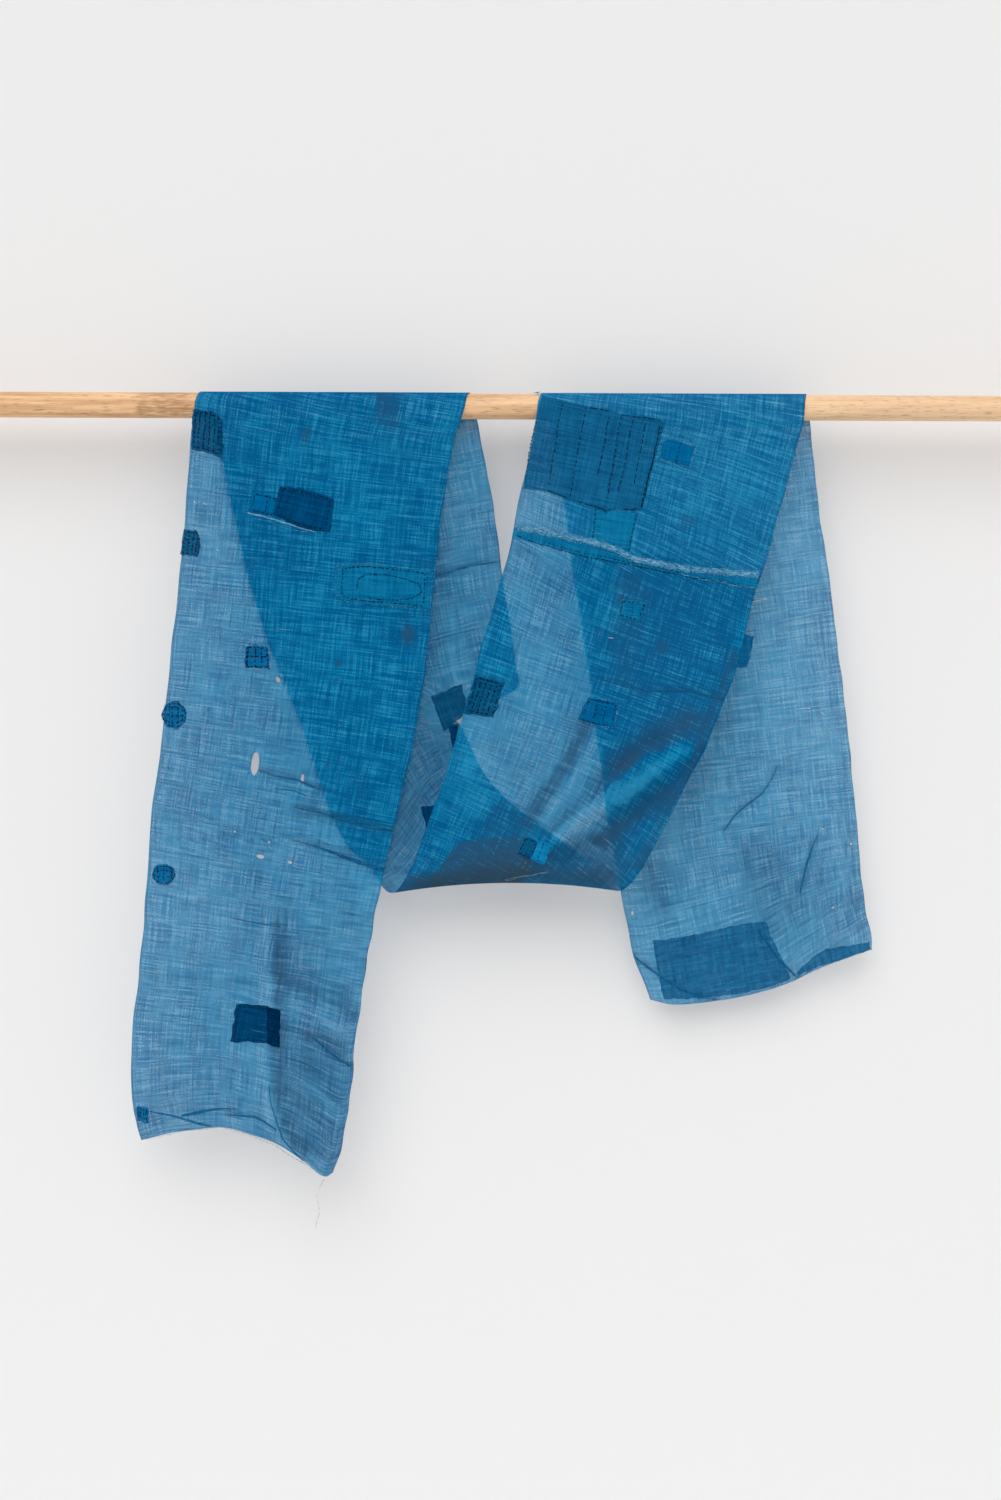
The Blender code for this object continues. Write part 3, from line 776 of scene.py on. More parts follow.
# by hang: darkness, corners of a plain field as seen, clockwise from the left; the dark fields are
# painted shade at the loop's bottom, where its cloth turns under, and the negative ones painted
# highlight along the ridge above it
SHADE_AND_HIGHLIGHT_FIELDS = {
    "front_low": (
        (0.56, ((-80, 586), (-53, 546), (20, 538), (42, 544), (37, 581), (18, 606), (-80, 614))),
        (0.5, ((-127, 601), (-111, 586), (-76, 586), (-76, 614), (-131, 614))),
        (0.22, ((-38, 548), (3, 489), (42, 525), (44, 536), (20, 541))),
        (-0.26, ((55, 541), (124, 485), (148, 500), (64, 553))),
        (-0.45, ((124, 485), (188, 432), (208, 450), (148, 500))),
    ),
}
FIELD_EDGE = 4.0
# hang, x, drop, half width, half height, lean in degrees
HOLES = (
    ("left_tail", -306, 449, 4.8, 15.0, 6.0), ("left_tail", -278, 344, 2.6, 4.0, -35.0),
    ("left_tail", -247, 467, 1.9, 5.6, 8.0), ("left_tail", -299, 565, 5.4, 2.4, 12.0),
    ("left_tail", -262, 572, 3.0, 1.9, 10.0), ("left_tail", -331, 534, 1.8, 1.2, 0.0),
    ("left_tail", -288, 547, 1.5, 1.4, 0.0), ("right_tail", 445, 548, 1.2, 1.5, 0.0),
    ("right_tail", 423, 629, 1.2, 1.5, 0.0), ("right_tail", 409, 529, 1.0, 1.2, 0.0),
    ("right_tail", 168, 637, 1.4, 3.0, 0.0),
)
# painted shade: where another layer covers a place as seen from the front, the finish darkens it
# the layers that may lie over or under each hang, and the drop at which each of those ends
COVERS = {
    "left_tail": ("back",),
    "back": ("left_tail", "front_low"),
    "front_low": ("back", "right_tail"),
    "front_high": ("back", "right_tail"),
    "right_tail": ("front_low", "back"),
}
ENDS = {"left_tail": 912.0, "back": 588.0, "front_low": 588.0, "right_tail": 745.0}
SELVEDGE_WIDTH = 0.0028
COVER_LIMIT = 50.0
ROD_DROP = 22.0
ROD_EDGE = 5.0


def spot_sum(spots, name, x, drop):
    """The sum over a hang's spots of strength * exp(-r^4), where r is 1 at the spot's edge."""
    found = np.zeros_like(x)
    for centre, level, half_width, half_height, strength in spots.get(name, ()):
        radius = ((x - centre) / half_width) ** 2 + ((drop - level) / half_height) ** 2
        uneven = 1.0 + 0.35 * ripple(x, drop, 41, 2.2 * min(half_width, half_height))
        found += strength * np.exp(-((radius * uneven) ** 2))
    return found


def stain_and_shade_at(name, x, drop):
    """The stains, and the creases' shade: denser cloth in a pinch, and painted shade and highlight."""
    return spot_sum(STAINS_AND_SHADES, name, x, drop) + fold_sum(HANGS[name]["creases"], 2, x, drop)


def painted_light_at(name, x, drop):
    """The sum over a hang's fields of darkness * smooth step of the distance inside the nearest side."""
    dark = np.zeros_like(x)
    for darkness, corners in SHADE_AND_HIGHLIGHT_FIELDS.get(name, ()):
        inside = np.full_like(x, 1e9)
        for (x0, drop0), (x1, drop1) in zip(corners, corners[1:] + corners[:1]):
            run = math.hypot(x1 - x0, drop1 - drop0)
            inside = np.minimum(inside, ((x1 - x0) * (drop - drop0) - (drop1 - drop0) * (x - x0)) / run)
        dark += darkness * smooth_step(0.5 + inside / FIELD_EDGE)
    return dark


def inside_by(name, x, drop):
    """Millimetres by which places lie inside a hang's outline, negative outside it."""
    table = HANGS[name]["table"]
    below = np.maximum(drop, 0.0)
    sides = np.minimum(x - read_table(table, 1, below), read_table(table, 2, below) - x)
    return np.minimum(sides, ENDS[name] - below)


def covers_at(name, x, drop):
    """The two largest inside distances among the layers that can cover a hang."""
    found = [inside_by(other, x, drop) for other in COVERS[name]]
    found = np.sort(np.stack(found + [np.full_like(x, -COVER_LIMIT)]), axis=0)[::-1]
    return np.clip(found[0], -COVER_LIMIT, COVER_LIMIT), np.clip(found[1], -COVER_LIMIT, COVER_LIMIT)


def punch(name, x, drop):
    """Move the points round each hole onto its ellipse, and mark the points inside it as gone."""
    gone = np.zeros(x.shape, dtype=bool)
    for hang, centre, level, half_width, half_height, lean in HOLES:
        if hang != name:
            continue
        turn = math.radians(lean)
        side = (x - centre) * math.cos(turn) + (drop - level) * math.sin(turn)
        down = (drop - level) * math.cos(turn) - (x - centre) * math.sin(turn)
        radius = np.hypot(side / half_width, down / half_height)
        inside = radius < 1.0
        if not inside.any():
            inside[np.unravel_index(np.argmin(radius), radius.shape)] = True
        rim = np.zeros_like(inside)
        for row_step in (-1, 0, 1):
            for column_step in (-1, 0, 1):
                rim |= np.roll(inside, (row_step, column_step), axis=(0, 1))
        rim &= ~inside
        x[rim] = centre + (x[rim] - centre) / radius[rim]
        drop[rim] = level + (drop[rim] - level) / radius[rim]
        gone |= inside
    return gone


# %% [markdown]
# ## The two lengths of cloth
#
# Each length is one surface: rows of points follow the cloth from its hem over the rod. The long one
# makes the left tail, the back layer, the loop and the front panel up to the seam. The short one
# starts behind the seam, goes over the rod and hangs as the right tail.

# %% Cloth lengths
COLUMNS = 93
ACROSS = np.linspace(0.0, 1.0, COLUMNS)


def hang_block(name, rows, turned=False):
    """One hang's part of a length: its points, stains with their painted shade and highlight, covers and
    cut points, row by row.
    """
    x, drop = hang_places(name, ACROSS[None, :], rows)
    gone = punch(name, x, drop)
    backing = smooth_step((ROD_DROP - drop) / ROD_EDGE) + spot_sum(DENSE_AND_SHADED, name, x, drop)
    fall = drop - loop_lift(x, drop) * HANGS[name]["loop"]
    stain_and_shade = stain_and_shade_at(name, x, drop) + painted_light_at(name, x, fall)
    block = [face(name, x, drop), stain_and_shade, *covers_at(name, x, drop), backing, gone]
    return [part[::-1] for part in block] if turned else block


def plain_block(points, name):
    """Rows round the rod or the loop, whose marks are read from the hang beside them."""
    x = points[..., 0] / MM
    drop = np.maximum(-points[..., 2] / MM, 0.0)
    stain_and_shade = (stain_and_shade_at(name, x, drop) + painted_light_at(name, x, drop)) * (points[..., 1] < 0.0)
    backing = np.full_like(x, float(drop.mean() < 50.0))
    return [points, stain_and_shade, *covers_at(name, x, drop), backing, np.zeros(x.shape, dtype=bool)]


def long_length():
    """Blocks of the long length, from the left hem over the rod and round the loop to the seam."""
    down = turn_rows(levels((0.0, 440.0, 5.2), (440.0, 925.0, 3.4)), LEFT_HEM, 250.0, ACROSS)
    drops = levels((0.0, 332.0, 6.5), (332.0, 410.0, 2.6), (410.0, LOOP_CENTRE_DROP, 5.0))
    up = turn_rows(levels((LOOP_CENTRE_DROP, 184.0, 3.4)), SEAM, 200.0, ACROSS)
    blocks = (
        hang_block("left_tail", down, turned=True),
        plain_block(over_rod(LEFT_TAIL[0][1:3], BACK_LAYER[0][1:3], ACROSS, 18), "left_tail"),
        hang_block("back", drops[:, None]),
        plain_block(under_loop(ACROSS, 32), "front_low"),
        hang_block("front_low", up),
    )
    blocks[-1][0][0, :, 1] += LAP_STEP * MM
    return [np.concatenate(parts) for parts in zip(*blocks)]


def short_length():
    """Blocks of the short length, from behind the seam over the rod to the right hem."""
    down = turn_rows(levels((0.0, 198.0, 3.4)), SHORT_END, 200.0, ACROSS)
    fall = turn_rows(levels((0.0, 727.0, 3.3)), RIGHT_HEM, 250.0, ACROSS)
    blocks = (
        hang_block("front_high", down, turned=True),
        plain_block(over_rod(FRONT_PANEL[0][1:3], RIGHT_TAIL[0][1:3], ACROSS, 18), "front_high"),
        hang_block("right_tail", fall),
    )
    return [np.concatenate(parts) for parts in zip(*blocks)]


def add_cloth(name, blocks, node, finish):
    """A woven shell with its UV and its marks, in place of its solid.

    The marks are stains with painted shade and highlight, covered places, and where the rod lies right
    behind."""
    points, stain_and_shade, first, second, backing, gone = blocks
    uv = weave_uv(points)
    keep = ~gone.ravel()[grid_cells(*gone.shape)].any(axis=-1)
    mesh = grid_mesh(name, points, uv, keep)
    edge = np.minimum(uv[..., 0], LOOM_WIDTH - uv[..., 0])
    stain_and_shade = stain_and_shade + 0.08 * np.exp(-((edge / SELVEDGE_WIDTH) ** 2))
    marks = (("stain_and_shade", stain_and_shade), ("cover_first", first), ("cover_second", second), ("backing", backing))
    for label, values in marks:
        mesh.attributes.new(label, "FLOAT", "POINT").data.foreach_set("value", values.ravel())
    cloth = add_piece(name, mesh, finish, CLOTH_THICKNESS)
    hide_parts(node)
    print(name, round(float(uv[:, COLUMNS // 2, 1].max()), 3), "m long,", len(mesh.polygons), "cells")
    return cloth


long_cloth = add_cloth("woven_long_length", long_length(), "cloth_long_length", LONG_FINISH)
short_cloth = add_cloth("woven_short_length", short_length(), "cloth_short_length", SHORT_FINISH)

# %% [markdown]
# ## Threads
#
# Stitches, loose ends and yarn are thin tubes. Their finishes are a plain colour that a fine noise
# makes uneven, as hand-dyed thread is.

# %% Thread finishes
def thread_finish(name, dark, pale):
    """Thread whose colour wanders between two tones."""
    finish, tree, shader = new_finish(name, 0.9, 0.1)
    place = add_node(tree, "ShaderNodeTexCoord").outputs["Object"]
    noise = add_node(tree, "ShaderNodeTexNoise", {"Vector": place, "Scale": 260.0}).outputs["Fac"]
    tone = blend_colours(tree, remap(tree, noise, 0.35, 0.65), dark, pale)
    tree.links.new(tone, shader.inputs["Base Color"])
    return finish


THREADS = {
    "navy": thread_finish("navy_thread", (0.001, 0.004, 0.015), (0.002, 0.02, 0.06)),
    "blue": thread_finish("blue_thread", (0.02, 0.2, 0.42), (0.12, 0.4, 0.62)),
    "pale": thread_finish("pale_thread", (0.16, 0.42, 0.6), (0.46, 0.66, 0.78)),
    "drab": thread_finish("drab_thread", (0.1, 0.17, 0.2), (0.2, 0.26, 0.27)),
    "white": thread_finish("undyed_thread", (0.5, 0.56, 0.62), (0.82, 0.82, 0.8)),
}
THREAD_PATHS = {key: [] for key in THREADS}


def place_along(line, along):
    """The x and drop at distances along a line of points."""
    line = np.array(line, dtype=float)
    gone = np.concatenate([[0.0], np.cumsum(np.hypot(*np.diff(line, axis=0).T))])
    return np.interp(along, gone, line[:, 0]), np.interp(along, gone, line[:, 1])


def line_length(line):
    """The length of a line of points."""
    return float(np.hypot(*np.diff(np.array(line, dtype=float), axis=0).T).sum())


def stitch(hang, line, dash=3.2, gap=2.2, lift=0.9, colour="navy", radius=0.6, seed=1):
    """Running stitches along a line: each arches up, lift + 0.4 * sin, and dips in at its ends."""
    dice = np.random.default_rng(seed)
    count = max(1, int(line_length(line) / (dash + gap)))
    start = (np.arange(count) + 0.4 * dice.random(count)) * (dash + gap)
    length = dash * (0.6 + 0.7 * dice.random(count))
    along = start[:, None] + length[:, None] * np.linspace(0.0, 1.0, 4)
    x, drop = place_along(line, along)
    drift = 0.5 * (dice.random((count, 1)) - 0.5) + 0.5 * ripple(along, 0.0, seed, 40.0)
    arch = lift - 0.3 + 0.4 * np.sin(np.linspace(0.0, math.pi, 4))
    paths = seen(hang, x + drift, drop + drift, arch)
    THREAD_PATHS[colour].append((paths, np.broadcast_to(radius * MM, paths.shape[:2])))


def fray(hang, line, side, pitch, reach, lift=0.6, colour="pale", radius=0.2, spread=1.6, seed=1):
    """Loose ends off a raw edge: each leaves it square, side * (-run_drop, run_x), turned by its own
    angle and bend, and gets thinner."""
    dice = np.random.default_rng(seed)
    whole = line_length(line)
    count = max(1, int(whole / pitch))
    at = (np.arange(count) + dice.random(count)) * pitch
    x, drop = place_along(line, at)
    x_next, drop_next = place_along(line, np.minimum(at + 0.5, whole))
    x_last, drop_last = place_along(line, np.minimum(at + 0.5, whole) - 1.0)
    run = np.hypot(x_next - x_last, drop_next - drop_last) + 1e-9
    run_x = (x_next - x_last) / run
    run_drop = (drop_next - drop_last) / run
    share = np.linspace(0.0, 1.0, 5)
    length = reach * (0.25 + 0.75 * dice.random(count) ** 2)[:, None] * share
    lean = (dice.random(count) - 0.5)[:, None]
    bend = (dice.random(count) - 0.5)[:, None]
    angle = spread * (lean + 1.4 * bend * share)
    out = length * np.cos(angle)
    along = length * np.sin(angle)
    x = x[:, None] - side * out * run_drop[:, None] + along * run_x[:, None]
    drop = drop[:, None] + side * out * run_x[:, None] + along * run_drop[:, None]
    height = lift * (1.0 + 1.5 * (dice.random(count) - 0.3)[:, None] * share)
    paths = seen(hang, x, drop, height)
    thin = radius * MM * (1.0 - 0.6 * share)
    THREAD_PATHS[colour].append((paths, np.broadcast_to(thin, paths.shape[:2])))


# %% [markdown]
# ## Patches
#
# A patch is a small sheet that lies on the cloth's face: a grid between its top edge and its bottom
# edge, lifted a little, puckered by its stitches and never quite straight. Most are sewn down near
# their edges with running stitch, and some are quilted through with rows of it.

# %% Patch tools
PATCHES = {"long": [], "short": []}
PATCH_PITCH = 2.4
BORDER_INSET = 0.07
PATCH_THICKNESS = 0.0004
PLEAT_THICKNESS = 0.0003
SIDE_OF = dict(left_tail="long", back="long", front_low="long", front_high="short", right_tail="short")


def edge_points(line, share):
    """Points of an edge at shares of its length."""
    return np.stack(place_along(line, share * line_length(line)), axis=-1)


def patch_place(top, bottom, across, down):
    """The x and drop of places in a patch: between its top and bottom edges."""
    upper = edge_points(top, across)
    lower = edge_points(bottom, across)
    place = upper * (1.0 - down)[..., None] + lower * down[..., None]
    return place[..., 0], place[..., 1]


def add_patch(
    name,
    hang,
    finish,
    top,
    bottom,
    lift=0.7,
    border=True,
    columns=(),
    rows=(),
    colour="navy",
    wobble=0.7,
    frayed=0.0,
    thread=0.6,
    pitch=PATCH_PITCH,
):
    """A patch from its edges, with stitches round it and through it at shares of its size."""
    seed = sum(ord(letter) for letter in name)
    count_across = max(6, round(max(line_length(top), line_length(bottom)) / pitch)) + 1
    count_down = max(6, round(np.hypot(*(np.array(bottom) - np.array(top)).T).max() / pitch)) + 1
    across, down = np.meshgrid(np.linspace(0.0, 1.0, count_across), np.linspace(0.0, 1.0, count_down))
    x, drop = patch_place(top, bottom, across, down)
    side_rim = np.minimum(across, 1.0 - across) * count_across
    rim = np.minimum(side_rim, np.minimum(down, 1.0 - down) * count_down)
    edge = np.exp(-((rim / 0.8) ** 2))
    x = x + wobble * edge * ripple(x, drop, seed, 13.0)
    drop = drop + wobble * edge * ripple(x, drop, seed + 1, 13.0)
    height = lift + 0.25 * edge + 0.2 * ripple(x, drop, seed + 2, 11.0)
    points = seen(hang, x, drop, height)
    slope = math.atan2(top[-1][1] - top[0][1], top[-1][0] - top[0][0])
    u = (x * math.cos(slope) + drop * math.sin(slope)) * MM + 0.37 * seed
    v = (drop * math.cos(slope) - x * math.sin(slope)) * MM + 0.53 * seed
    mesh = grid_mesh(name, points, np.stack([u, v], axis=-1))
    patch = add_piece(name, mesh, PATCH_FINISHES[finish], PATCH_THICKNESS)
    PATCHES[SIDE_OF[hang]].append(patch)
    ends = np.linspace(0.0, 1.0, 9)
    lines = [(np.full(9, at), ends) for at in columns] + [(ends, np.full(9, at)) for at in rows]
    if border:
        inner = BORDER_INSET + (1.0 - 2 * BORDER_INSET) * ends
        sides = [np.full(9, BORDER_INSET), np.full(9, 1.0 - BORDER_INSET)]
        lines += [(at, inner) for at in sides] + [(inner, at) for at in sides]
    for turn, (at_across, at_down) in enumerate(lines):
        line = list(zip(*patch_place(top, bottom, at_across, at_down)))
        stitch(hang, line, lift=lift + 0.35, colour=colour, radius=thread, seed=seed + turn)
    if frayed:
        left = (top[0], bottom[0])
        right = (top[-1], bottom[-1])
        for edge_line, side in ((top, -1), (bottom, 1), (left, 1), (right, -1)):
            fray(hang, edge_line, side, 1.4, frayed, lift=lift, colour="blue", seed=seed)
            fray(hang, edge_line, side, 2.6, 0.7 * frayed, lift=lift, seed=seed + 7)


def disc(x, drop, half_width, half_height):
    """Top and bottom edges of a round patch, as half circles that nearly meet."""
    turn = np.linspace(math.pi * 0.98, math.pi * 0.02, 25)
    top = [(x + half_width * math.cos(a), drop - half_height * math.sin(a)) for a in turn]
    bottom = [(x + half_width * math.cos(a), drop + half_height * math.sin(a)) for a in turn]
    return top, bottom


# %% Patches of the left tail
add_patch(
    "patch_top_selvedge", "left_tail", "teal", top=((-385, 8), (-371, 8), (-360, 11), (-348, 20)),
    bottom=((-388, 57), (-372, 60), (-359, 64), (-349, 69)), columns=(0.22, 0.38, 0.54, 0.7, 0.85),
    wobble=1.0, thread=0.65,
)
add_patch(
    "patch_small_selvedge", "left_tail", "teal", top=((-396, 158), (-380, 159), (-376, 166)),
    bottom=((-400, 189), (-388, 190), (-377, 191)), columns=(0.3, 0.55, 0.8), rows=(0.35,), wobble=1.2,
)
add_patch(
    "patch_light_box", "left_tail", "blue", top=((-311, 110), (-281, 117), (-262, 120)),
    bottom=((-316, 134), (-289, 139), (-262, 146)), columns=(0.4,),
)
add_patch(
    "patch_navy_box", "left_tail", "indigo", top=((-277, 103), (-255, 105), (-228, 111), (-209, 118)),
    bottom=((-285, 138), (-263, 149), (-240, 157), (-214, 160)), lift=1.5,
)
add_patch(
    "patch_same_blue", "left_tail", "near",
    top=((-206, 203), (-178, 199), (-150, 201), (-101, 207), (-86, 209)),
    bottom=((-206, 238), (-192, 246), (-158, 250), (-101, 254), (-89, 256)), frayed=2.0,
)
OVAL = (
    (-180, 232), (-178, 219), (-166, 213), (-146, 213), (-122, 217), (-103, 224), (-98, 235), (-112, 243),
    (-134, 244), (-166, 243),
)
stitch("left_tail", OVAL, dash=2.6, gap=1.4, lift=1.1, radius=0.55, seed=31)
add_patch(
    "patch_bright_square", "left_tail", "blue", top=((-317, 302), (-290, 304)),
    bottom=((-320, 330), (-288, 330)), columns=(0.1, 0.42, 0.68), rows=(0.45,), wobble=1.2, frayed=4.0,
    thread=0.85,
)
add_patch(
    "patch_round_selvedge", "left_tail", "blue", *disc(-407, 389, 15, 17), columns=(0.45, 0.6, 0.75),
    rows=(0.2, 0.5, 0.8), wobble=1.0, frayed=3.0, thread=0.55, pitch=1.5,
)
add_patch(
    "patch_low_selvedge", "left_tail", "blue", *disc(-419, 588, 14, 13), columns=(0.3, 0.5, 0.75),
    rows=(0.3, 0.6), wobble=1.0, frayed=3.0, thread=0.55, pitch=1.5,
)
add_patch(
    "patch_dark_square", "left_tail", "navy", top=((-328, 749), (-292, 749), (-273, 756)),
    bottom=((-335, 796), (-288, 796), (-273, 802)),
)
# a darker strip over the square patch's right third: painted shade where it folds
add_patch(
    "patch_dark_square_side", "left_tail", "fold_shade", top=((-289, 750), (-273, 756)),
    bottom=((-288, 797), (-273, 802)), lift=1.1, border=False, columns=(0.06,),
)
add_patch(
    "patch_hem_selvedge", "left_tail", "blue", top=((-451, 875), (-436, 879)),
    bottom=((-449, 895), (-436, 897)), border=False, columns=(0.1, 0.35, 0.6, 0.85),
)

# %% Patches of the back layer and the front panel
add_patch(
    "patch_back_dark", "back", "teal", top=((-88, 363), (-49, 348)), bottom=((-72, 408), (-42, 384)),
    border=False,
)
add_patch(
    "patch_back_corner", "back", "navy", top=((-101, 504), (-77, 500)), bottom=((-93, 530), (-84, 527)),
    border=False,
)
add_patch(
    "torn_flap", "back", "navy", top=((-66, 399), (-53, 399)), bottom=((-61, 428), (-58, 428)), lift=2.5,
    border=False,
)
add_patch(
    "patch_front_knot", "front_low", "near", top=((150, 243), (181, 246)), bottom=((147, 264), (174, 270)),
    wobble=1.5, frayed=1.5,
)
add_patch(
    "patch_front_pair", "front_low", "blue", top=((108, 365), (127, 368), (146, 372)),
    bottom=((96, 393), (118, 399), (141, 402)), columns=(0.38, 0.65), frayed=2.0,
)
add_patch(
    "patch_quilted_selvedge", "front_low", "teal", top=((-31, 337), (5, 347)),
    bottom=((-45, 385), (-9, 391)), columns=(0.22, 0.4, 0.6, 0.78), wobble=1.0, thread=0.8,
)
add_patch(
    "patch_loop", "front_low", "bright", top=((45, 542), (66, 548)), bottom=((37, 566), (55, 573)),
    columns=(0.45,), wobble=0.3, thread=0.45,
)
add_patch(
    "patch_loop_dark", "front_low", "teal", top=((31, 539), (47, 544)), bottom=((21, 559), (39, 567)),
    wobble=0.3, thread=0.7,
)
add_patch(
    "patch_great_quilted", "front_high", "slate",
    top=((50, -14), (77, -5), (104, 2), (133, 5), (148, 11), (178, 13), (203, 20)),
    bottom=((27, 105), (57, 108), (84, 118), (98, 121), (130, 134), (139, 130), (174, 132)), wobble=0.5,
    border=False,
)
QUILT_LINES = (
    ((76, -5), (57, 107)), ((105, 2), (84, 118)), ((134, 12), (119, 95)), ((149, 12), (132, 118)),
    ((165, 15), (145, 110)), ((180, 20), (165, 101)),
)
QUILT_EDGES = (
    ((199, 25), (175, 128)), ((198, 26), (174, 128)), ((108, 3), (134, 7)),
    ((148, 12), (178, 15), (202, 21)), ((57, 107), (84, 117)),
    ((95, 120), (118, 127), (130, 132), (140, 129)), ((152, 130), (174, 130)),
)
for number, line in enumerate(QUILT_LINES):
    stitch("front_high", line, dash=4.4, gap=2.8, lift=1.1, radius=0.55, seed=201 + number)
for number, line in enumerate(QUILT_EDGES):
    stitch("front_high", line, dash=5.5, gap=1.0, lift=1.1, radius=0.6, seed=221 + number)
stitch("front_high", ((43, 20), (34, 62), (28, 104)), dash=2.2, gap=2.6, lift=1.1, seed=231)
add_patch(
    "patch_frayed", "front_high", "blue", top=((201, 45), (214, 42), (240, 52)),
    bottom=((197, 66), (219, 73), (234, 76)), border=False, columns=(0.55,), frayed=5.0,
)
add_patch(
    "patch_below_great", "front_high", "near", top=((117, 128), (170, 135)),
    bottom=((112, 172), (159, 186)), lift=0.5, border=False, columns=(0.02, 0.97),
)

# %% Patches of the right tail
add_patch(
    "patch_tail_side", "right_tail", "blue", top=((275, 282), (320, 285)), bottom=((275, 328), (312, 325)),
    border=False,
)
add_patch(
    "patch_tail_hem", "right_tail", "hem", top=((193, 672), (227, 668), (257, 662), (290, 654), (335, 646)),
    bottom=((208, 746), (249, 745), (304, 739), (346, 729), (368, 719)), lift=0.5, border=False,
)
add_patch(
    "turned_hem", "right_tail", "hem", top=((376, 711), (400, 689), (416, 681), (440, 678), (468, 672)),
    bottom=((378, 715), (405, 704), (430, 696), (452, 688), (470, 681)), lift=0.5, border=False,
)
print("Patches", len(PATCHES["long"]), "and", len(PATCHES["short"]))

# %% [markdown]
# ## Folded-over creases
#
# Where thin cloth is pinched flat it lies double along a narrow strip, which shows as a crisp darker
# line. Each is a tapering strip on its face in the darker slate finish: partly the doubled cloth,
# partly painted shade in the crease.

# %% Pleats
# hang, width at the start, width at the end, line of (x, drop)
PLEATS = (
    ("left_tail", 1.0, 5.6, ((-258, 503), (-225, 510), (-171, 526), (-134, 533))),
    ("left_tail", 0.6, 3.0, ((-301, 458), (-278, 465), (-254, 469), (-223, 483))),
    ("left_tail", 0.6, 1.6, ((-281, 480), (-256, 483), (-240, 490))),
    ("left_tail", 0.8, 7.0, ((-258, 544), (-227, 553), (-176, 572), (-144, 581))),
    ("left_tail", 0.6, 2.0, ((-337, 641), (-310, 646), (-273, 652))),
    ("left_tail", 1.0, 2.0, ((-286, 846), (-283, 872), (-268, 915), (-244, 943))),
    ("left_tail", 1.0, 3.6, ((-445, 880), (-404, 889), (-378, 897), (-358, 902))),
    ("left_tail", 5.0, 1.0, ((-396, 889), (-368, 883), (-348, 880), (-326, 880))),
    ("left_tail", 1.6, 4.0, ((-338, 887), (-318, 889), (-305, 889), (-290, 896), (-276, 904))),
    ("left_tail", 1.5, 3.0, ((-237, 790), (-222, 802), (-206, 815), (-184, 828))),
    ("back", 3.0, 1.5, ((-88, 213), (-60, 205), (-40, 199), (0, 192))),
    ("front_low", 1.0, 1.4, ((127, 343), (182, 357), (239, 357), (277, 368))),
    ("right_tail", 0.8, 2.6, ((351, 450), (345, 465), (332, 485), (315, 498), (298, 512), (284, 533))),
    ("right_tail", 1.0, 3.0, ((403, 536), (395, 556), (388, 577), (381, 611))),
    ("right_tail", 3.5, 2.0, ((170, 692), (184, 703), (208, 720), (229, 734), (252, 742), (276, 747))),
    ("right_tail", 1.0, 4.0, ((326, 656), (336, 670), (351, 692), (362, 703), (375, 716))),
)


def add_pleat(index, hang, width_start, width_end, line):
    """A strip along a line, as wide as w(s) = (start + (end - start) * s) * sqrt(sin(pi * s)),
    arched to lift + 0.5 * (1 - v^2) across it."""
    count = max(8, round(line_length(line) / 2.5))
    share = np.linspace(0.0, 1.0, count)
    along = share * line_length(line)
    x, drop = place_along(line, along)
    turn = np.arctan2(np.gradient(drop), np.gradient(x))
    width = width_start + (width_end - width_start) * share
    width = width * np.sqrt(np.sin(math.pi * (0.03 + 0.94 * share)))
    v = np.linspace(-0.5, 0.5, 5)
    x = x[:, None] - np.sin(turn)[:, None] * width[:, None] * v
    drop = drop[:, None] + np.cos(turn)[:, None] * width[:, None] * v
    points = seen(hang, x, drop, 0.55 + 0.5 * (1 - 4 * v**2)[None, :] * np.ones((count, 1)))
    uv = np.stack([x, drop], axis=-1) * MM
    mesh = grid_mesh(f"pleat_{index:02d}", points, uv)
    pleat = add_piece(mesh.name, mesh, PATCH_FINISHES["slate"], PLEAT_THICKNESS)
    PATCHES[SIDE_OF[hang]].append(pleat)


for index, row in enumerate(PLEATS):
    add_pleat(index, *row)
print("Pleats", len(PLEATS))

# %% [markdown]
# ## The seam and loose ends
#
# The two lengths lap by 14 mm. The upper edge of the lap is raw: its frayed yarn stands up as a pale
# ridge. Two rows of dark stitches hold the lower edge. Raw hems and worn selvedges have loose ends too.

# %% Seam
SEAM_LINE = ((20, 153), (74, 163), (118, 172), (143, 180), (163, 191), (212, 201), (274, 208), (321, 211))
STITCH_LINE = ((18, 163), (51, 175), (87, 185), (124, 193), (174, 202), (224, 212), (274, 220), (318, 229))


def yarn(hang, line, strands, wander, radius, lift, colour, seed):
    """Frayed yarn along a line: strands that weave about it by a smooth unevenness."""
    dice = np.random.default_rng(seed)
    along = np.linspace(0.0, line_length(line), max(12, int(line_length(line) / 2.2)))
    for strand in range(strands):
        x, drop = place_along(line, along)
        drop = drop + wander * ripple(along, 0.0, seed + 3 * strand, 24.0)
        height = lift + 0.5 * ripple(along, 0.0, seed + 3 * strand + 1, 16.0)
        paths = seen(hang, x, drop, height)[None]
        thick = radius * MM * (0.8 + 0.5 * dice.random())
        thick = thick * (1.0 + 0.4 * ripple(along, 0.0, seed + strand, 12.0))
        THREAD_PATHS[colour].append((paths, np.clip(thick, 0.1 * MM, None)[None]))


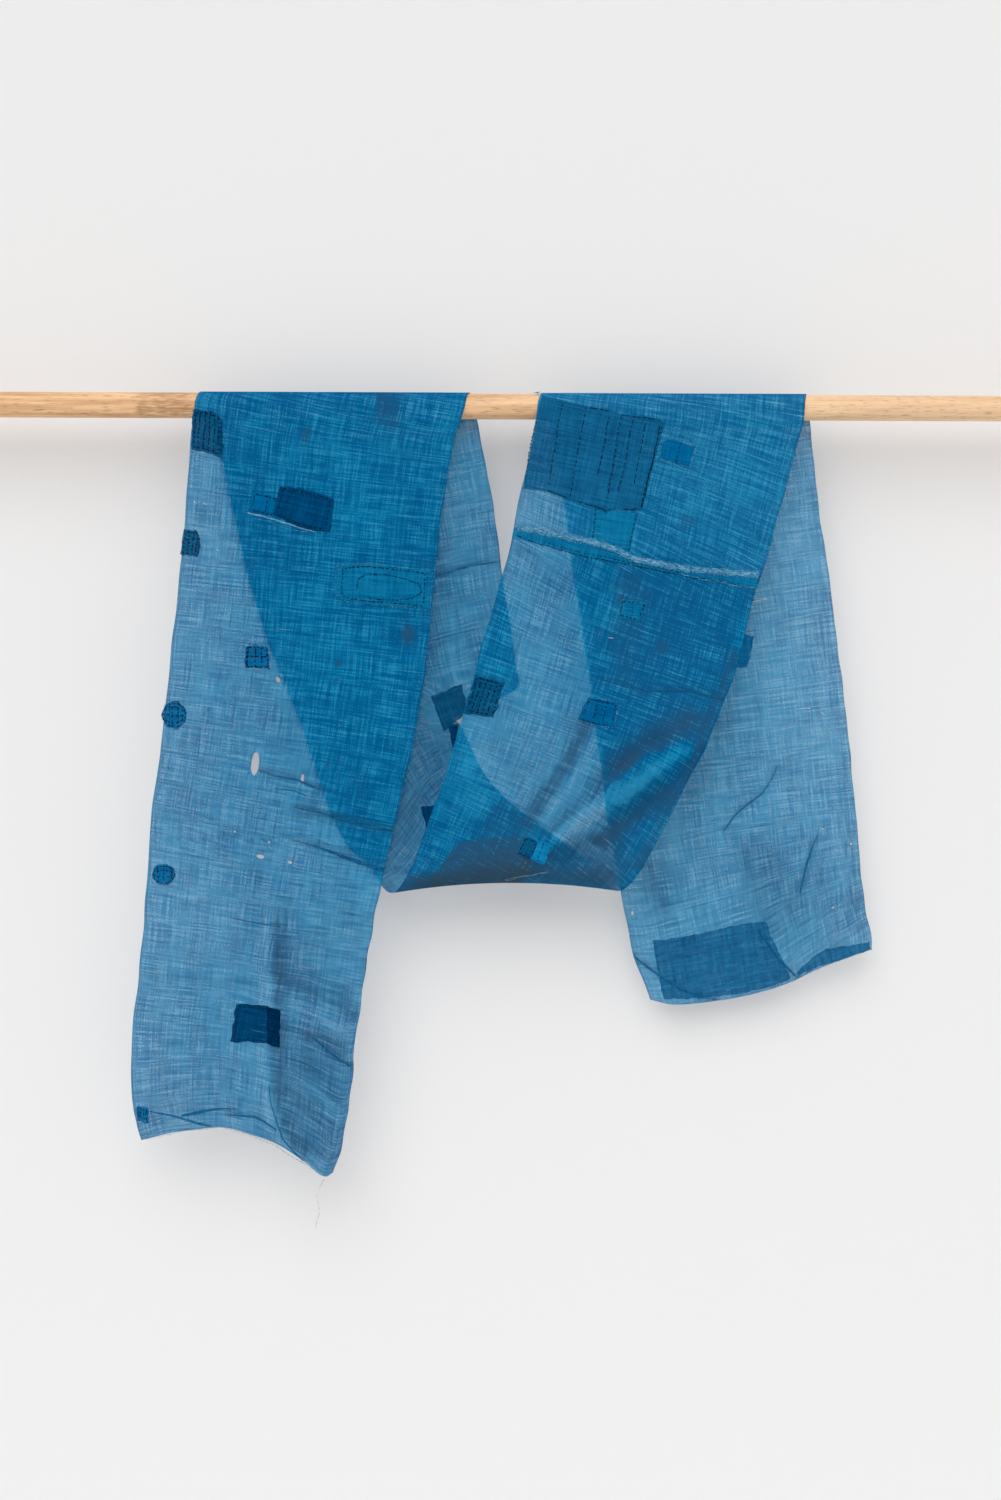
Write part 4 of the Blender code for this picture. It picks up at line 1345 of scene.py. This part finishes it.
add_patch("seam_lap", "front_low", "near", top=SEAM_LINE, bottom=STITCH_LINE, lift=0.5, border=False)
RIDGE_TOP = tuple((x, drop - 3.0) for x, drop in SEAM_LINE)
RIDGE_FOOT = tuple((x, drop + 3.5) for x, drop in SEAM_LINE)
add_patch(
    "seam_ridge", "front_low", "frayed", top=RIDGE_TOP, bottom=RIDGE_FOOT, lift=0.9, border=False,
    wobble=1.2, frayed=4.0,
)
yarn("front_low", SEAM_LINE, 8, 2.4, 0.35, 1.1, "blue", 61)
yarn("front_low", SEAM_LINE, 5, 2.6, 0.2, 1.4, "pale", 83)
yarn("front_low", SEAM_LINE[3:], 3, 1.5, 0.35, 1.0, "blue", 97)
yarn("front_low", STITCH_LINE[5:], 3, 1.2, 0.25, 0.9, "blue", 99)
for number, (side, pitch, reach, colour) in enumerate(
    ((-1, 0.5, 6.0, "blue"), (-1, 0.9, 5.0, "pale"), (1, 0.6, 4.5, "blue"), (1, 1.3, 4.0, "pale"))
):
    fray("front_low", SEAM_LINE, side, pitch, reach, 0.8, colour, 0.22, 2.8, 110 + number)
stitch("front_low", STITCH_LINE, dash=3.0, gap=1.8, lift=1.0, radius=0.5, seed=93)
UPPER_STITCHES = tuple((x + 1, drop - 3.5) for x, drop in STITCH_LINE[1:6])
stitch("front_low", UPPER_STITCHES, dash=2.2, gap=3.4, radius=0.45, seed=94)

# %% Hems and worn places
LEFT_HEM_LINE = tuple((-440 + 232 * place, drop - 1) for place, drop in LEFT_HEM)
RIGHT_HEM_LINE = tuple((194 + 279 * place, drop - 1) for place, drop in RIGHT_HEM)

fray(
    "front_high", ((44, -17), (43, -31)), 1, 1.1, 7.0, lift=0.8, colour="blue", radius=0.22, spread=3.2,
    seed=130,
)
fray(
    "front_high", ((45, -19), (43, -30)), 1, 2.0, 6.0, lift=0.9, colour="navy", radius=0.24, spread=3.6,
    seed=131,
)
yarn("front_low", ((6, 592), (24, 588), (38, 586), (60, 581)), 3, 0.9, 0.16, 0.5, "drab", 151)
fray("left_tail", LEFT_HEM_LINE, 1, 1.0, 3.0, lift=0.2, colour="blue", radius=0.2, seed=101)
fray("left_tail", LEFT_HEM_LINE, 1, 2.5, 4.0, lift=0.2, colour="pale", seed=102)
fray("right_tail", RIGHT_HEM_LINE, 1, 1.4, 3.0, lift=0.2, colour="blue", radius=0.2, seed=103)
fray(
    "right_tail", ((286, 734), (294, 732)), 1, 1.2, 14.0, lift=0.3, colour="pale", radius=0.22, spread=2.6,
    seed=104,
)
fray("right_tail", ((452, 686), (458, 685)), 1, 2.0, 8.0, lift=0.3, colour="blue", radius=0.25, seed=105)
fray(
    "left_tail", ((-317, 135), (-295, 140), (-263, 150), (-240, 158)), 1, 1.6, 3.0, colour="pale", seed=106,
)
yarn("left_tail", ((-317, 136), (-295, 141), (-263, 151), (-232, 160)), 2, 0.6, 0.2, 0.6, "pale", 107)
yarn("left_tail", ((-303, 144), (-263, 157), (-238, 161)), 1, 0.5, 0.2, 0.5, "blue", 111)
for number, (hang, x, drop, half_width, half_height, lean) in enumerate(HOLES):
    top, bottom = disc(x, drop, half_width, half_height)
    fray(hang, top, 1, 1.5, min(3.0, half_width), lift=0.3, colour="blue", seed=120 + number)
    fray(hang, bottom, -1, 1.5, min(3.0, half_width), lift=0.3, colour="pale", seed=140 + number)
# hang and line of a caught, pale thread
SNAGS = (
    ("left_tail", ((-386, 121), (-380, 125))), ("left_tail", ((-373, 124), (-368, 126))),
    ("left_tail", ((-357, 181), (-353, 183))), ("left_tail", ((-422, 463), (-421, 468))),
    ("left_tail", ((-425, 488), (-424, 493))), ("left_tail", ((-315, 771), (-308, 771))),
    ("right_tail", ((312, 243), (341, 238))), ("right_tail", ((316, 240), (334, 238))),
    ("right_tail", ((373, 377), (391, 376))), ("right_tail", ((405, 381), (409, 384))),
    ("front_high", ((44, 74), (46, 79))), ("front_low", ((133, 290), (140, 291))),
)
for number, (hang, line) in enumerate(SNAGS):
    stitch(hang, line, dash=line_length(line), lift=0.5, colour="white", radius=0.28, seed=300 + number)
print("Thread sets", {key: len(paths) for key, paths in THREAD_PATHS.items()})


def add_threads(colour, paths):
    """Join every thread of one colour and one number of steps into a single mesh."""
    for steps in sorted({path.shape[1] for path, thick in paths}):
        same = [(path, thick) for path, thick in paths if path.shape[1] == steps]
        centres = np.concatenate([path for path, thick in same])
        thick = np.concatenate([thick for path, thick in same])
        mesh = tube_mesh(f"threads_{colour}_{steps}", centres, thick, 4 if steps < 8 else 6)
        add_piece(mesh.name, mesh, THREADS[colour])
        print(mesh.name, len(centres), "threads,", len(mesh.polygons), "faces")


for colour, paths in THREAD_PATHS.items():
    add_threads(colour, paths)

# %% [markdown]
# ## The rod
#
# The rod's solid already has the right shape, so it only gets a finish: pale wood whose grain is
# noise, stretched along the rod, with short dark pores and one darker, rubbed stretch.

# %% Wood
RUBBED_PLACE = -0.423


def stretched_noise(tree, place, scale, detail):
    """Noise with so many waves a metre along each axis."""
    mapped = add_node(tree, "ShaderNodeMapping", {"Vector": place, "Scale": scale})
    return noise_at(tree, mapped.outputs[0], detail)


def wood_finish():
    """Pale wood, lighter towards the right: long grain lines, short dark pores and a broad tone, on
    object coordinates.
    """
    finish, tree, shader = new_finish("pale_wood", 0.45)
    place = add_node(tree, "ShaderNodeTexCoord").outputs["Object"]
    x = add_node(tree, "ShaderNodeSeparateXYZ", {0: place}).outputs[0]
    grain = stretched_noise(tree, place, (9.0, 200.0, 200.0), 4.0)
    pores = stretched_noise(tree, place, (70.0, 700.0, 700.0), 2.0)
    broad = stretched_noise(tree, place, (6.0, 30.0, 30.0), 2.0)
    tone = blend_colours(tree, remap(tree, grain, 0.3, 0.7), (0.6, 0.29, 0.12), (1.0, 0.66, 0.36))
    wood_tone = blend_colours(tree, remap(tree, broad, 0.42, 0.68, 0.0, 0.2), tone, (0.7, 0.37, 0.17))
    # lighter towards the right, along X
    wood_tone = blend_colours(tree, remap(tree, x, -0.35, 0.45, 0.0, 0.5), wood_tone, (1.0, 0.73, 0.47))
    from_rubbed = maths(tree, "ABSOLUTE", maths(tree, "SUBTRACT", x, RUBBED_PLACE))
    rubbed = remap(tree, from_rubbed, 0.028, 0.04, 0.16, 0.0)
    dark = remap(tree, maths(tree, "ADD", pores, rubbed), 0.56, 0.72, 0.0, 0.6)
    tree.links.new(blend_colours(tree, dark, wood_tone, (0.3, 0.15, 0.07)), shader.inputs["Base Color"])
    add_bump(tree, shader, grain, 0.15, 0.0005)
    return finish


def dress_node(name, finish):
    """Give a solid that stays as it is a new finish."""
    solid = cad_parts[name]
    if solid.data.materials:
        solid.data.materials[0] = finish
    else:
        solid.data.materials.append(finish)


dress_node("rod", wood_finish())
dress_node("loose_thread", THREADS["white"])

# %% [markdown]
# ## Floor, backdrop and light
#
# The backdrop stands close behind, so that the sheer cloth shows pale through its threads. It is
# seen only from the front: its back is clear, so a view from behind still shows the object. One
# broad lamp high in front and an even pale surround light it softly.

# %% Stage
BACKDROP_DEPTH = 0.075
FLOOR_HEIGHT = -2.8
COVE_RADIUS = 0.35
FLOOR_FRONT = -6.0
BACKDROP_TOP = 2.2
STAGE_HALF_WIDTH = 4.0


def stage_finish():
    """Plain pale paint, clear on the back of a face."""
    finish, tree, shader = new_finish("pale_paint", 0.95, 0.1)
    shader.inputs["Base Color"].default_value = (0.88, 0.878, 0.879, 1.0)
    behind = add_node(tree, "ShaderNodeNewGeometry").outputs["Backfacing"]
    tree.links.new(maths(tree, "SUBTRACT", 1.0, behind), shader.inputs["Alpha"])
    return finish


def add_stage():
    """A floor that bends up into a backdrop: a profile in YZ, carried along X."""
    turn = np.linspace(0.0, math.pi / 2, 17)
    bend_y = BACKDROP_DEPTH - COVE_RADIUS + COVE_RADIUS * np.sin(turn)
    bend_z = FLOOR_HEIGHT + COVE_RADIUS - COVE_RADIUS * np.cos(turn)
    y = np.concatenate([[FLOOR_FRONT], bend_y, [BACKDROP_DEPTH]])
    z = np.concatenate([[FLOOR_HEIGHT], bend_z, [BACKDROP_TOP]])
    x = np.array([-STAGE_HALF_WIDTH, STAGE_HALF_WIDTH])
    points = np.stack(np.broadcast_arrays(x[None, :], y[:, None], z[:, None]), axis=-1)
    mesh = grid_mesh("stage", points, np.zeros((*points.shape[:2], 2)))
    mesh.flip_normals()
    cove = bpy.data.objects.new("stage", mesh)
    cove.data.materials.append(stage_finish())
    bpy.context.scene.collection.objects.link(cove)


def add_sun(name, way, strength, softness):
    """A far, broad lamp that shines along a direction."""
    data = bpy.data.lights.new(name, "SUN")
    data.energy = strength
    data.angle = math.radians(softness)
    lamp = bpy.data.objects.new(name, data)
    yaw = math.atan2(way[0], -way[1])
    pitch = math.atan2(math.hypot(way[0], way[1]), -way[2])
    lamp.rotation_euler = (pitch, 0.0, math.pi + yaw)
    bpy.context.scene.collection.objects.link(lamp)


def add_world(strength):
    """An even pale surround."""
    world = bpy.data.worlds.new("surround")
    world.use_nodes = True
    world.node_tree.nodes["Background"].inputs["Color"].default_value = (1.0, 0.995, 0.99, 1.0)
    world.node_tree.nodes["Background"].inputs["Strength"].default_value = strength
    bpy.context.scene.world = world


add_stage()
add_world(0.6)
add_sun("key", (0.2, 0.85, -0.75), 1.37, 50.0)
bpy.context.scene.view_settings.view_transform = "Standard"
# sheer cloth in many layers needs more clear passes than the usual eight
bpy.context.scene.cycles.transparent_max_bounces = 32
